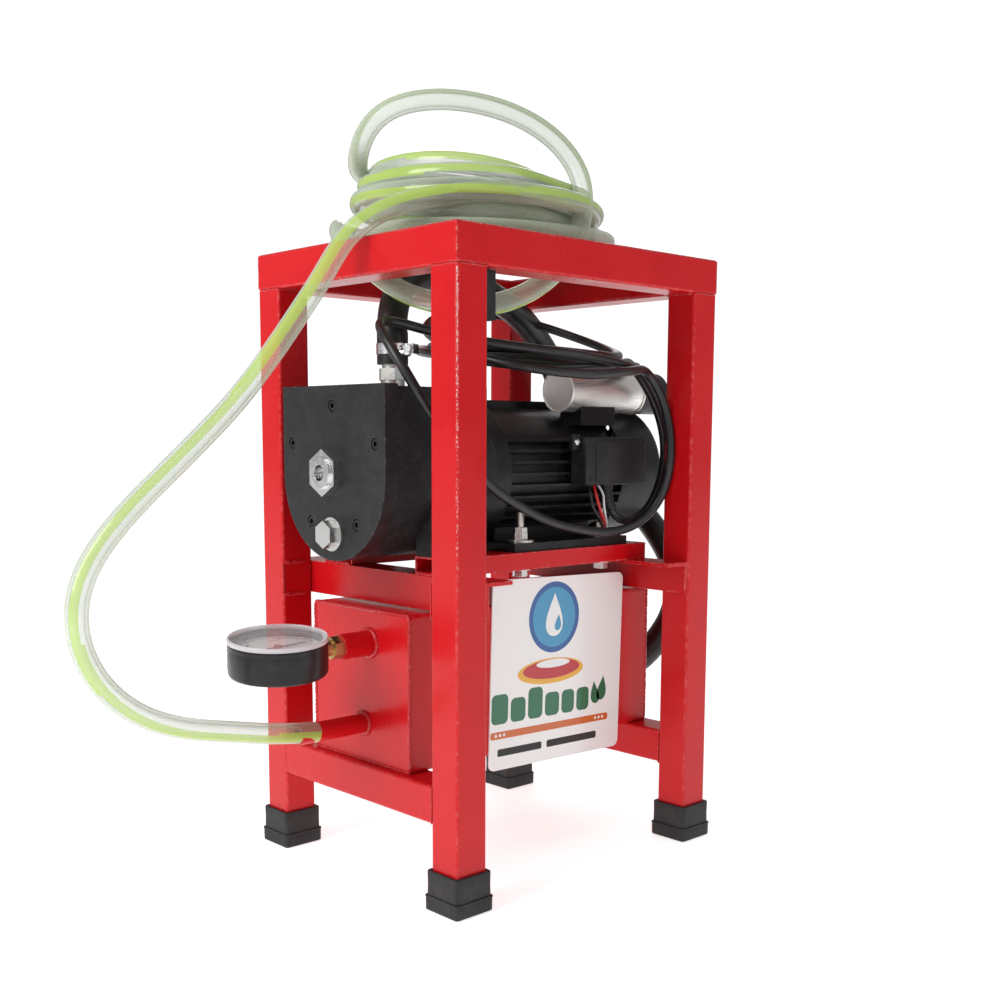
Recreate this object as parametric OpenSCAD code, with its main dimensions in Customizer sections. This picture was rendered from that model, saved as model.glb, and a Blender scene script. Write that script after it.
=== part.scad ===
// Bucket milking machine: a welded tube stand that carries a rotary vane
// vacuum pump and its motor on a shelf, with the vacuum tank below.
// Millimetres, +Z up, +X from the pump to the motor, origin on the floor
// below the middle of the machine.

/* [Stand] */
// Width of the stand along the pump and motor
frame_w = 380; // [300:10:500]
// Depth of the stand
frame_d = 325; // [260:5:400]
// Height of the stand
frame_h = 650; // [560:10:800]
// Side of the square tube
tube = 38; // [25:1:50]
// Wall of the square tube
tube_wall = 2; // [1.5:0.5:3]
// Height of the top of the shelf angles
shelf_z = 320; // [280:5:400]
// Underside of the lower side beams
low_beam_z = 85; // [60:5:120]

/* [Pump and motor] */
// Height of the shaft above the motor rails
shaft_rise = 80; // [80:1:100]
// Outer radius of the pump body
pump_r = 85; // [60:1:100]
// Outer radius of the motor fins
motor_r = 79; // [60:1:84]
// Bolt spacing along the motor base
bolt_pitch = 127; // [100:1:140]

/* [Tank and gauge] */
// Length of the vacuum tank
tank_l = 360; // [250:10:360]
// Depth and height of the vacuum tank
tank_w = 160; // [120:5:180]
// Wall of the vacuum tank
tank_wall = 3; // [2:0.5:5]
// Radius of the gauge case
gauge_r = 48; // [30:1:55]

/* [Hoses and cord] */
// Outer diameter of the clear vacuum hose
hose_d = 21; // [16:1:26]
// Outer diameter of the black suction hose
suction_d = 31; // [25:1:36]
// Outer diameter of the mains cord
cord_d = 10; // [7:0.5:12]

/* [Hidden] */
$fn = 64;

frame_x = 38;                       // stand's middle from the origin
half_w = frame_w / 2;
half_d = frame_d / 2;
leg_x = half_w - tube / 2;
leg_y = half_d - tube / 2;
in_x = half_w - tube;
in_y = half_d - tube;
beam_z = frame_h - tube;            // underside of the top beams
edge_r = 3;

cap_base = 6;                       // rubber under each leg
cap_h = 40;
cap_flange = 49;
cap_collar = 46;

angle_leg = 35;
angle_t = 4;
rail_y = 77;                        // rail centre from the middle
rail_w = 48;
rail_t = 18;
rail_l = 300;
rail_top = shelf_z + rail_t;

shaft_z = rail_top + shaft_rise;
cover_x = -212;                     // outer face of the pump cover
cover_t = 16;
body_x = cover_x + cover_t;
back_x = -80;                       // rear cover of the pump
bell_x = -62;
fin_x = -40;
cowl_x = 138;
cowl_l = 74;
pump_top = 507;
bore_r = 55;
rotor_r = 46;
rotor_drop = 8.5;                   // bore axis below the shaft axis
shaft_r = 12;
core_r = 70;                        // motor body under the fins
bolt_x = -28;
bolt_y = 79;
bolt_r = 4;
bolt_hole_r = 4.5;
screw_at = [[0, 69], [69, 32], [-69, 32], [38, -47], [-38, -47]];
fitting_y = 5;
fitting_z = 421;
plug_z = 360;
inlet_x = -135;

tank_z = low_beam_z + tube;
tank_edge = 4;
stub_y = -15;
stub_z = 248;
stub_r = 13;
nipple_y = -5;
nipple_z = 163;
nipple_r = 10;
suction_y = -30;
suction_z = 180;

gauge_at = [-289, -15, 266.5];      // middle of the gauge's top face
gauge_lean = 4.6;
gauge_droop = 3.1;
gauge_h = 37.5;

box_x = 47;
box_l = 97;
box_z = 406;
box_h = 50;
box_front = -105;
box_back = -81;
gland_x = 96;
gland_y = -88;
can_y = -48;
can_z = 508;
can_r = 23.5;
can_x = 60;

plate_c = [30, 205];                // middle of the name plate
plate_w = 204;
plate_h = 203;
plate_turn = 1.5;

switch_y = -136;
switch_z = 588;

// Routes run through these points, from the object outwards.
suction_route = [
    [-135, 0, 556], [-131, 5, 578], [-118, 15, 598], [-98, 25, 615],
    [-60, 32, 629], [0, 40, 629], [54, 53, 617], [108, 68, 601],
    [153, 83, 580], [186, 87, 548], [209, 85, 504], [231, 68, 455],
    [243, 34, 402], [245, -20, 360], [245, -58, 318], [245, -74, 278],
    [244, -66, 240], [239, -50, 211], [229, -37, 190], [216, -30, 180],
    [207, -30, 180]];
hose_route = [
    [-240, -5, 163], [-290, -5, 169], [-340, -4, 180], [-388, -4, 190],
    [-432, -3, 210], [-466, -2, 243], [-482, -1, 280], [-482, 0, 318],
    [-465, 0, 354], [-430, -1, 392], [-390, -2, 427], [-349, -2, 463],
    [-311, -3, 500], [-272, -10, 552], [-228, -18, 615],
    [-212, -21, 645], [-188, -30, 668], [-166, -42, 680],
    [-135, -60, 689], [-100, -80, 696]];
loop_route = [
    [17, -113, 652], [22, -113, 666], [29, -112, 684], [36, -107, 710],
    [34, -97, 737], [18, -80, 765], [-10, -62, 784], [-49, -42, 795],
    [-85, -20, 798], [-110, 4, 795], [-127, 26, 786], [-134, 44, 772],
    [-133, 57, 757], [-124, 66, 744]];
dip_route = [
    [-112, 62, 656], [-132, 34, 634], [-140, 6, 615], [-141, -20, 602],
    [-136, -46, 592], [-112, -84, 583], [-78, -100, 588],
    [-45, -109, 601], [-16, -112, 620], [6, -113, 640]];
cord_route = [
    [96, -88, 397], [97, -90, 386], [102, -92, 376], [114, -94, 369],
    [132, -96, 368], [150, -98, 375], [166, -100, 390],
    [177, -100, 409], [184, -99, 432], [185, -97, 456],
    [180, -94, 479], [168, -90, 501], [150, -85, 521],
    [132, -78, 537], [118, -74, 548]];
return_route = [
    [-60, -52, 548], [-96, -38, 557], [-128, -27, 567],
    [-158, -23, 574], [-182, -37, 568], [-191, -62, 548],
    [-187, -84, 520], [-170, -97, 484], [-134, -99, 446],
    [-90, -99, 408], [-48, -99, 386], [-4, -99, 368], [46, -101, 359],
    [92, -104, 357], [122, -110, 361], [140, -120, 376],
    [146, -132, 402], [146, -138, 432], [146, -135, 460],
    [143, -122, 488], [134, -106, 514], [122, -94, 536], [110, -88, 546]];
cord_ring = [52, -6, 533];
cord_ring_in = 86;
cord_ring_out = 128;
cord_ring_h = 29;
hose_ring = [-7, 6, frame_h];
hose_ring_in = 75;
hose_ring_out = 155;
hose_ring_h = 92;
plug_at = [58, 118, 420];
tail_route = [
    [30, 98, 546], [46, 108, 534], [55, 115, 514], [58, 118, 490],
    [58, 118, 459]];

red = [0.78, 0.06, 0.07];
black = [0.05, 0.05, 0.055];
charcoal = [0.12, 0.12, 0.13];
zinc = [0.75, 0.76, 0.78];
silver = [0.82, 0.82, 0.84];
brass_tone = [0.72, 0.55, 0.25];
white = [0.95, 0.95, 0.94];
copper = [0.72, 0.36, 0.18];
clear = [0.85, 0.92, 0.85, 0.6];

// ---- helpers ----

// Moves a piece from the stand's middle to its place from the origin.
module placed() translate([frame_x, 0, 0]) children();

// A cylinder along X from its low face.
module bar_x(x, y, z, r, l)
    translate([x, y, z]) rotate([0, 90, 0]) cylinder(r = r, h = l);

module ring_x(x, y, z, r, hole, l) difference() {
    bar_x(x, y, z, r, l);
    bar_x(x - 1, y, z, hole, l + 2);
}

module round_square(w, d, r)
    offset(r = r, $fn = 24) square([w - 2 * r, d - 2 * r], center = true);

// Square tube profile of the stand.
module tube_profile() difference() {
    round_square(tube, tube, edge_r);
    round_square(tube - 2 * tube_wall, tube - 2 * tube_wall, 1);
}

function unit(v) = v / norm(v);
function along(p, i) =
    unit(p[min(i + 1, len(p) - 1)] - p[max(i - 1, 0)]);
// A side direction that stays square to the route's direction.
function side(t, hint) = unit(cross(t, hint));
function carried(p, i, hint) =
    i == 0 ? side(along(p, 0), hint)
    : let(last = carried(p, i - 1, hint), t = along(p, i))
      unit(last - t * (last * t));
function ring_points(c, t, a, r, n) =
    let(b = cross(t, a))
    [for (k = [0:n - 1]) c + r * (cos(360 * k / n) * a + sin(360 * k / n) * b)];
function rings(p, r, n, hint) =
    [for (i = [0:len(p) - 1])
        each ring_points(p[i], along(p, i), carried(p, i, hint), r, n)];
function wall_faces(m, n) =
    [for (i = [0:m - 2], k = [0:n - 1])
        let(a = i * n, b = a + n, j = (k + 1) % n)
        [a + k, b + k, b + j, a + j]];

// A flexible tube swept along its route.
module swept(p, d, n = 8, hint = [0, 1, 0.03])
    polyhedron(
        points = rings(p, d / 2, n, hint),
        faces = concat(
            [[for (k = [0:n - 1]) k]],
            wall_faces(len(p), n),
            [[for (k = [n - 1:-1:0]) (len(p) - 1) * n + k]]),
        convexity = 6);

// ---- stand ----

// One mitred side of the top rectangle, along X, facing -Y.
module mitred_beam(l, d) intersection() {
    translate([-l / 2, -d / 2 + tube / 2, frame_h - tube / 2])
        rotate([90, 0, 90]) linear_extrude(l) tube_profile();
    translate([0, 0, beam_z - 1]) linear_extrude(tube + 2)
        polygon([[-l / 2, -d / 2], [l / 2, -d / 2],
                 [l / 2 - tube, -d / 2 + tube], [-l / 2 + tube, -d / 2 + tube]]);
}
module top_beam_front() placed() color(red) mitred_beam(frame_w, frame_d);
module top_beam_rear() placed() color(red)
    rotate([0, 0, 180]) mitred_beam(frame_w, frame_d);
module top_beam_left() placed() color(red)
    rotate([0, 0, -90]) mitred_beam(frame_d, frame_w);
module top_beam_right() placed() color(red)
    rotate([0, 0, 90]) mitred_beam(frame_d, frame_w);

module leg(x, y) placed() color(red) translate([x, y, cap_base])
    linear_extrude(beam_z - cap_base) tube_profile();

// Four rubber caps with a wider foot and a pocket for the tube.
module foot_cap() difference() {
    union() {
        linear_extrude(15) round_square(cap_flange, cap_flange, 4);
        linear_extrude(cap_h) round_square(cap_collar, cap_collar, 4);
    }
    translate([0, 0, cap_base]) linear_extrude(cap_h)
        round_square(tube, tube, edge_r);
}
module foot_caps() placed() color(black)
    for (x = [-leg_x, leg_x], y = [-leg_y, leg_y])
        translate([x, y, 0]) foot_cap();

module low_beam(x) placed() color(red)
    translate([x, in_y, low_beam_z + tube / 2])
        rotate([90, 0, 0]) linear_extrude(2 * in_y) tube_profile();

// Angle along Y with its back on the legs; turn is 1 on the left.
module shelf_angle(turn) placed() color(red)
    rotate([0, 0, turn > 0 ? 0 : 180])
        translate([-in_x, in_y + tube - 2, shelf_z]) rotate([90, 0, 0])
            linear_extrude(2 * (in_y + tube - 2))
                polygon([[0, 0], [angle_leg, 0], [angle_leg, -angle_t],
                         [angle_t, -angle_t], [angle_t, -angle_leg],
                         [0, -angle_leg]]);

module rail(y) placed() color(red) difference() {
    translate([-rail_l / 2, y - rail_w / 2, shelf_z])
        cube([rail_l, rail_w, rail_t]);
    translate([-rail_l / 2 - 1, y - rail_w / 2 + 2, shelf_z + 2])
        cube([rail_l + 2, rail_w - 4, rail_t - 4]);
    for (x = [bolt_x, bolt_x + bolt_pitch])
        translate([x, sign(y) * bolt_y, shelf_z - 1])
            cylinder(r = bolt_hole_r, h = rail_t + 2);
}

// ---- tank and gauge ----

module tank_block(l, w, r) translate([-l / 2, 0, tank_z + tank_w / 2])
    rotate([90, 0, 90]) linear_extrude(l) round_square(w, w, r);
module vacuum_tank() placed() color(red) difference() {
    tank_block(tank_l, tank_w, tank_edge);
    tank_block(tank_l - 2 * tank_wall, tank_w - 2 * tank_wall, 2);
    bar_x(-tank_l / 2 - 1, stub_y, stub_z, stub_r - 3, tank_wall + 2);
    bar_x(-tank_l / 2 - 1, nipple_y, nipple_z, nipple_r - 2.5, tank_wall + 2);
    bar_x(tank_l / 2 - tank_wall - 1, suction_y, suction_z, 10, tank_wall + 2);
}
module gauge_stub() placed() color(red)
    ring_x(-218, stub_y, stub_z, stub_r, stub_r - 3, 218 - tank_l / 2);
module hose_nipple() placed() color(red)
    ring_x(-262, nipple_y, nipple_z, nipple_r, nipple_r - 2.5, 262 - tank_l / 2);
module suction_stub() placed() color(red)
    ring_x(tank_l / 2, suction_y, suction_z, 12.5, 10, 26);

module name_plate() placed() color(white)
    translate([plate_c[0], -tank_w / 2, plate_c[1]])
        rotate([90, plate_turn, 0]) linear_extrude(1.5)
            offset(r = 8, $fn = 24)
                square([plate_w - 16, plate_h - 16], center = true);

// Places gauge pieces: local +Z is the tilted face's direction.
module on_gauge() translate(gauge_at)
    rotate([gauge_lean, -gauge_droop, 0]) children();
module gauge_adapter() placed() color(brass_tone) difference() {
    union() {
        bar_x(-248, stub_y, stub_z, 8, 30);
        translate([-228, stub_y, stub_z]) rotate([0, 90, 0])
            cylinder(r = 11.5, h = 10, $fn = 6);
    }
    bar_x(-249, stub_y, stub_z, 3, 40);
    on_gauge() translate([0, 0, -gauge_h - 5])
        cylinder(r = gauge_r, h = gauge_h + 10);
}
module gauge_case() placed() color(black) on_gauge() difference() {
    translate([0, 0, -gauge_h]) cylinder(r = gauge_r, h = gauge_h);
    translate([0, 0, -gauge_h + 3]) cylinder(r = gauge_r - 2.5, h = gauge_h);
}
module gauge_dial() placed() color(white) on_gauge()
    translate([0, 0, -13]) difference() {
        cylinder(r = gauge_r - 2.5, h = 1.5);
        translate([0, 0, -1]) cylinder(r = 2, h = 4);
    }
module gauge_needle() placed() color(black) on_gauge() {
    translate([0, 0, -11]) linear_extrude(0.8)
        polygon([[-12, -2], [-12, 2], [0, 1.6], [32, 0.3], [32, -0.3], [0, -1.6]]);
    translate([0, 0, -11.2]) cylinder(r = 4, h = 2.4);
    translate([0, 0, -16]) cylinder(r = 1.7, h = 5);
}
module gauge_lens() placed() color(clear) on_gauge()
    translate([0, 0, -4]) cylinder(r = gauge_r - 2.5, h = 3);

// ---- pump ----

// A slab with a round lower half and a flat top, along X.
module u_slab(x, l, r, top) {
    bar_x(x, 0, shaft_z, r, l);
    translate([x, -r, shaft_z]) cube([l, 2 * r, top - shaft_z]);
}
module pump_body() placed() color(charcoal) difference() {
    union() {
        u_slab(body_x, back_x - body_x, pump_r - 2, pump_top - 2);
        for (y = [-1, 1])
            translate([-150, y * 70 - 15, rail_top]) cube([60, 30, 50]);
    }
    bar_x(body_x - 1, 0, shaft_z - rotor_drop, bore_r, back_x - body_x + 2);
    translate([inlet_x, 0, shaft_z + 20]) cylinder(r = 9, h = 100);
    for (p = screw_at)
        bar_x(body_x - 1, p[0], shaft_z + p[1], 3.2, 30);
}
module pump_cover() placed() color(charcoal) difference() {
    u_slab(cover_x, cover_t, pump_r, pump_top);
    bar_x(body_x - 8, 0, shaft_z, shaft_r + 0.05, 9);
    bar_x(cover_x - 1, fitting_y, fitting_z, 10, 7);
    bar_x(cover_x - 1, 0, plug_z, 8, cover_t + 2);
    for (p = screw_at) {
        bar_x(cover_x - 1, p[0], shaft_z + p[1], 3.2, cover_t + 2);
        bar_x(cover_x - 1, p[0], shaft_z + p[1], 6, 6.5);
    }
}
module pump_rear_cover() placed() color(charcoal) difference() {
    bar_x(back_x, 0, shaft_z, pump_r - 6, bell_x - back_x);
    bar_x(back_x - 1, 0, shaft_z, shaft_r + 0.05, 20);
}
// Vane rotor on its own length of shaft.
module pump_rotor() placed() color(zinc) {
    difference() {
        bar_x(body_x + 0.5, 0, shaft_z, rotor_r, back_x - body_x - 1);
        for (a = [45:90:315])
            translate([body_x - 1, 0, shaft_z]) rotate([a, 0, 0])
                translate([0, -2.1, 21]) cube([back_x - body_x + 2, 4.2, 40]);
    }
    bar_x(body_x - 7, 0, shaft_z, shaft_r, back_x - body_x + 25);
}
module pump_vanes() placed() color(charcoal)
    for (a = [45:90:315])
        translate([body_x + 1, 0, shaft_z]) rotate([a, 0, 0])
            translate([0, -2, 22]) cube([back_x - body_x - 2, 4, 22.5]);
module socket_screw(x, y, z) difference() {
    union() {
        bar_x(x, y, z, 5, 5);
        bar_x(x + 5, y, z, 3, 30);
    }
    translate([x - 1, y, z]) rotate([0, 90, 0]) cylinder(r = 2.9, h = 4, $fn = 6);
}
module cover_screws() placed() color(charcoal)
    for (p = screw_at) socket_screw(cover_x + 0.5, p[0], shaft_z + p[1]);
module exhaust_fitting() placed() color(silver) difference() {
    union() {
        translate([cover_x - 10, fitting_y, fitting_z]) rotate([0, 90, 0])
            cylinder(r = 23.5, h = 10, $fn = 6);
        bar_x(cover_x - 13, fitting_y, fitting_z, 16, 4);
        bar_x(cover_x - 1, fitting_y, fitting_z, 10, 7);
    }
    bar_x(cover_x - 14, fitting_y, fitting_z, 8, 19);
}
module oil_plug() placed() color(zinc) {
    translate([cover_x - 13, 0, plug_z]) rotate([0, 90, 0])
        cylinder(r = 14, h = 11, $fn = 6);
    bar_x(cover_x - 3, 0, plug_z, 17, 3);
    bar_x(cover_x, 0, plug_z, 8, cover_t);
}
module inlet_nipple() placed() color(zinc) difference() {
    union() {
        translate([inlet_x, 0, pump_top - 2]) cylinder(r = 12.5, h = 9);
        translate([inlet_x, 0, pump_top + 7])
            cylinder(r = 15, h = 12, $fn = 6);
        translate([inlet_x, 0, pump_top + 19]) cylinder(r = 11, h = 26);
    }
    translate([inlet_x, 0, pump_top - 5]) cylinder(r = 8, h = 70);
}
// Worm clamps over both ends of the suction hose.
module clamp_band(r) {
    difference() {
        cylinder(r = r + 0.9, h = 11);
        translate([0, 0, -1]) cylinder(r = r, h = 13);
    }
    translate([r + 0.5, -8, 0.5]) cube([9, 16, 10]);
    translate([r + 5, -8, 5.5]) rotate([90, 0, 0]) cylinder(r = 4, h = 6);
}
module hose_clamps() placed() color(silver) {
    translate([inlet_x, 0, 540]) rotate([0, 0, -60])
        clamp_band(suction_d / 2 + 0.5);
    translate([200, suction_y, suction_z]) rotate([0, 90, 0])
        rotate([0, 0, 200]) clamp_band(suction_d / 2 + 0.5);
}
// Black hose from the pump's inlet, over the motor and round its fan end,
// down to the tank.
module suction_hose() placed() color(black) {
    swept(suction_route, suction_d, 12);
    difference() {
        translate([inlet_x, 0, 530]) cylinder(r = suction_d / 2 + 0.5, h = 28);
        translate([inlet_x, 0, 529]) cylinder(r = 11, h = 23);
    }
    difference() {
        bar_x(190, suction_y, suction_z, suction_d / 2 + 0.5, 24);
        bar_x(189, suction_y, suction_z, 12.5, 17.2);
    }
}

// ---- motor ----

// Fins stand clear of the base and of the capacitor.
fin_turns = [for (a = [0:9:351]) if (abs(a - 270) > 42 && abs(a - 118) > 26) a];
module motor_body() placed() color(black) difference() {
    union() {
        bar_x(fin_x, 0, shaft_z, core_r, cowl_x - fin_x);
        translate([fin_x, 0, shaft_z]) rotate([90, 0, 90])
            linear_extrude(cowl_x - fin_x)
                for (a = fin_turns) rotate(a)
                    translate([core_r - 2, -1.4]) square([motor_r - core_r + 2, 2.8]);
        translate([box_x + 8, -80, box_z + 4]) cube([80, 30, box_h - 8]);
        translate([can_x + 20, can_y - 16, 470]) cube([56, 32, 22]);
    }
    bar_x(fin_x - 1, 0, shaft_z, 62, cowl_x - fin_x + 2);
    bar_x(can_x - 1, can_y, can_z, can_r, 200);
}
module motor_front_bell() placed() color(black) difference() {
    bar_x(bell_x, 0, shaft_z, motor_r, fin_x - bell_x);
    bar_x(bell_x - 1, 0, shaft_z, 30, 16);
    bar_x(bell_x - 1, 0, shaft_z, 20, 30);
    translate([bell_x - 1, -40, rail_top - 1]) cube([30, 80, 10.1]);
}
module motor_rear_bell() placed() color(black)
    ring_x(cowl_x - 12, 0, shaft_z, 61.8, 20, 12);
module motor_stator() placed() color(copper) {
    ring_x(5, 0, shaft_z, 62, 38.5, 80);
    ring_x(-8, 0, shaft_z, 57, 43, 106);
}
module motor_rotor() placed() color(zinc) {
    bar_x(8, 0, shaft_z, 38, 74);
    bar_x(back_x + 18.1, 0, shaft_z, 9, 190 - back_x - 18);
    bar_x(-61.5, 0, shaft_z, 22, 12);
}
module motor_bearings() placed() color(silver)
    for (x = [fin_x - 7, cowl_x - 11])
        ring_x(x, 0, shaft_z, 20, 9.05, 7);
module motor_fan() placed() color(black) {
    ring_x(cowl_x + 12, 0, shaft_z, 18, 9, 36);
    for (a = [0:45:315])
        translate([cowl_x + 14, 0, shaft_z]) rotate([a, 0, 0])
            translate([0, -1, 16]) cube([32, 2, 50]);
}
// Pressed cowl with a rounded rim and air holes in its end.
module fan_cowl() placed() color(black) difference() {
    translate([cowl_x, 0, shaft_z]) rotate([0, 90, 0]) rotate_extrude($fn = 96)
        difference() {
            union() {
                square([motor_r - 2.5, cowl_l - 12]);
                square([motor_r - 14.5, cowl_l]);
                translate([motor_r - 14.5, cowl_l - 12]) circle(r = 12, $fn = 32);
            }
            translate([-1, -1]) square([motor_r - 3.3, cowl_l - 11]);
            translate([-1, -1]) square([motor_r - 14.5, cowl_l - 0.8]);
        }
    for (n = [1:4], a = [0:60 / n:359])
        translate([cowl_x + cowl_l - 10, 0, shaft_z]) rotate([a, 0, 0])
            translate([0, 0, 13 * n]) rotate([0, 90, 0])
                cylinder(r = 3.2, h = 20, $fn = 16);
}
module motor_base() placed() color(black) difference() {
    union() {
        translate([bolt_x - 24, -96, rail_top])
            cube([bolt_pitch + 48, 192, 9]);
        translate([bolt_x - 10, -50, rail_top])
            cube([bolt_pitch + 20, 100, 28]);
    }
    bar_x(fin_x - 30, 0, shaft_z, core_r + 0.02, 240);
    for (x = [bolt_x, bolt_x + bolt_pitch], y = [-bolt_y, bolt_y])
        translate([x, y, rail_top - 1]) cylinder(r = bolt_hole_r, h = 12);
}
module base_bolts() placed() color(zinc)
    for (x = [bolt_x, bolt_x + bolt_pitch], y = [-bolt_y, bolt_y])
        translate([x, y, 0]) {
            translate([0, 0, 310]) cylinder(r = bolt_r, h = 68);
            translate([0, 0, rail_top + 11.5])
                cylinder(r = 8, h = 7, $fn = 6);
            translate([0, 0, rail_top + 18.5])
                cylinder(r = 7.5, h = 6, $fn = 6);
            translate([0, 0, shelf_z - 9.5]) cylinder(r = 8, h = 7, $fn = 6);
        }
module washer(z, r) translate([0, 0, z]) difference() {
    cylinder(r = r, h = 2.4);
    translate([0, 0, -1]) cylinder(r = bolt_hole_r, h = 5);
}
module base_washers() placed() color(zinc)
    for (x = [bolt_x, bolt_x + bolt_pitch], y = [-bolt_y, bolt_y])
        translate([x, y, 0]) {
            washer(rail_top + 9, 15);
            washer(shelf_z - 2.4, 12);
        }

module terminal_box() placed() color(black) difference() {
    translate([box_x, box_front + 9, box_z])
        cube([box_l, box_back - box_front - 9, box_h]);
    translate([box_x + 3, box_front + 8, box_z + 3])
        cube([box_l - 6, box_back - box_front - 11, box_h - 6]);
    for (x = [gland_x, gland_x - 16])
        translate([x, gland_y, box_z - 1]) cylinder(r = 4, h = 6);
}
module terminal_cover() placed() color(black)
    translate([box_x - 1, box_front, box_z - 1])
        cube([box_l + 2, 9, box_h + 2]);
module capacitor_can() placed() color(silver)
    bar_x(can_x, can_y, can_z, can_r - 0.1, 120);
module capacitor_cap() placed() color(black) {
    bar_x(can_x + 120, can_y, can_z, can_r + 0.6, 42);
    translate([can_x + 162, can_y, can_z]) rotate([0, 90, 0])
        cylinder(r1 = can_r + 0.6, r2 = can_r - 7, h = 10);
}

module switch_box() placed() color(black) difference() {
    translate([-in_x, switch_y - 15, switch_z - 23]) cube([20, 30, 46]);
    translate([-in_x + 4, switch_y - 8, switch_z - 13]) cube([18, 16, 26]);
    rocker_pin(2.05, 24);
}
module rocker_pin(r, l)
    translate([-in_x + 14, switch_y + l / 2, switch_z])
        rotate([90, 0, 0]) cylinder(r = r, h = l);
module switch_rocker() placed() color(charcoal) {
    translate([-in_x + 14, switch_y + 7.6, switch_z]) rotate([90, 0, 0])
        linear_extrude(15.2)
            polygon([[-3, -6], [-3, 6], [6, 11], [9.5, 10.5], [6.5, 0],
                     [7.5, -10.5], [5, -11]]);
    rocker_pin(2, 22);
}

// ---- cord and hose ----

module cord_gland() placed() color(black)
    translate([gland_x, gland_y, box_z - 9]) difference() {
        cylinder(r1 = 6, r2 = 7, h = 9);
        translate([0, 0, -1]) cylinder(r = cord_d / 2 - 1, h = 12);
    }
module mains_cord() placed() color(black) {
    swept(cord_route, cord_d, 8);
    swept(return_route, cord_d, 8);
    swept(tail_route, cord_d, 8, [1, 0, 0]);
}
module cord_coil() placed() color(black) translate(cord_ring)
    rotate_extrude($fn = 72) translate([cord_ring_in, 0])
        square([cord_ring_out - cord_ring_in, cord_ring_h]);
module cord_plug() placed() color(black) translate(plug_at) {
    translate([-20, -12, 0]) cube([40, 24, 30]);
    translate([0, 0, 30]) cylinder(r1 = 11, r2 = 7, h = 9);
    for (x = [-10, 10]) translate([x, 3, -20]) cylinder(r = 2.5, h = 20);
    translate([0, -6, -20]) cylinder(r = 3, h = 20);
}
module vacuum_hose() placed() color(clear) {
    swept(hose_route, hose_d, 8);
    swept(loop_route, hose_d, 8);
    swept(dip_route, hose_d, 8);
}
module hose_coil() placed() color(clear) translate(hose_ring)
    rotate_extrude($fn = 72) translate([hose_ring_in, 0])
        square([hose_ring_out - hose_ring_in, hose_ring_h]);

top_beam_front();
top_beam_rear();
top_beam_left();
top_beam_right();
leg(-leg_x, -leg_y);  // leg_front_left
leg(leg_x, -leg_y);  // leg_front_right
leg(-leg_x, leg_y);  // leg_rear_left
leg(leg_x, leg_y);  // leg_rear_right
foot_caps();
low_beam(-leg_x);  // low_beam_left
low_beam(leg_x);  // low_beam_right
shelf_angle(1);  // shelf_angle_left
shelf_angle(-1);  // shelf_angle_right
rail(-rail_y);  // rail_front
rail(rail_y);  // rail_rear
vacuum_tank();
gauge_stub();
hose_nipple();
suction_stub();
name_plate();
gauge_adapter();
gauge_case();
gauge_dial();
gauge_needle();
gauge_lens();
pump_body();
pump_cover();
pump_rear_cover();
pump_rotor();
pump_vanes();
cover_screws();
exhaust_fitting();
oil_plug();
inlet_nipple();
hose_clamps();
suction_hose();
motor_body();
motor_front_bell();
motor_rear_bell();
motor_stator();
motor_rotor();
motor_bearings();
motor_fan();
fan_cowl();
motor_base();
base_bolts();
base_washers();
terminal_box();
terminal_cover();
capacitor_can();
capacitor_cap();
switch_box();
switch_rocker();
cord_gland();
mains_cord();
cord_coil();
cord_plug();
vacuum_hose();
hose_coil();
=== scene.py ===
"""Milking machine: materials, hoses, cord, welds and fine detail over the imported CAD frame."""
import math
import random
from math import cos, pi, radians, sin

import bmesh
import bpy
from mathutils import Matrix, Vector


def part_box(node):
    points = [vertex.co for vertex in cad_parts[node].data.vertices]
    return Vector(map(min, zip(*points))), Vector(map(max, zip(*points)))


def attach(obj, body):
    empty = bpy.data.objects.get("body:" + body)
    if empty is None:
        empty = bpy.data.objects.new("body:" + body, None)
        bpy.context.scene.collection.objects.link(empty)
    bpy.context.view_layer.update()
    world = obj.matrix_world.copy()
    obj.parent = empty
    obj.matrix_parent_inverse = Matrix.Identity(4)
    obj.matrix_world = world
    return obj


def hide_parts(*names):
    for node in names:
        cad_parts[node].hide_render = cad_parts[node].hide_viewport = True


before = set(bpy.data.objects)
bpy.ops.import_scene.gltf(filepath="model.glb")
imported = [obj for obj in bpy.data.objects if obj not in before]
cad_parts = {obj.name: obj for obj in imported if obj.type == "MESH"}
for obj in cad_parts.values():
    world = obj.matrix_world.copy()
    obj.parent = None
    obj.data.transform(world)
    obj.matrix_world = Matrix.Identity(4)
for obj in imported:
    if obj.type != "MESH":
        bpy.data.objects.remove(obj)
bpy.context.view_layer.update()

# ---- dimensions, in metres, in the part's frame ----

STAND_X = 0.038          # middle of the stand from the origin
TUBE = 0.038             # frame tube's side
LEG_X = 0.171            # leg centres from the stand's middle
LEG_Y = 0.1435
OPEN_Y = 0.1245          # inner faces of the front and rear legs
EDGE_R = 0.003
FRAME_H = 0.650
BEAM_LOW = 0.612
LOW_BEAM = 0.085
SHELF = 0.320
ANGLE = 0.035
TANK_X = 0.180
TANK_Y = 0.080
TANK_LOW = 0.123
TANK_TOP = 0.283
GAUGE_TOP = (-0.289, -0.015, 0.2665)
PLATE_AT = (0.030, 0.205)
PLATE_TURN = 1.5
HOSE_D = 0.021
HOSE_WALL = 0.0032
SUCTION_D = 0.031
CORD_D = 0.010
WELD_STEP = 0.0012       # between the points of a bead
FLUSH = 0.9985           # sinks a bead almost level with the tube's face
WELD_RIPPLE = 0.0045     # from one ripple of a bead to the next
CHIP_SKIN = 0.00006      # chips stand this far off the paint
PLATE_FACE = -0.0815     # the name plate's front
GAUGE_R = 0.048
DIAL_FACE = -0.01152     # the dial's face, below the gauge's top
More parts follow.
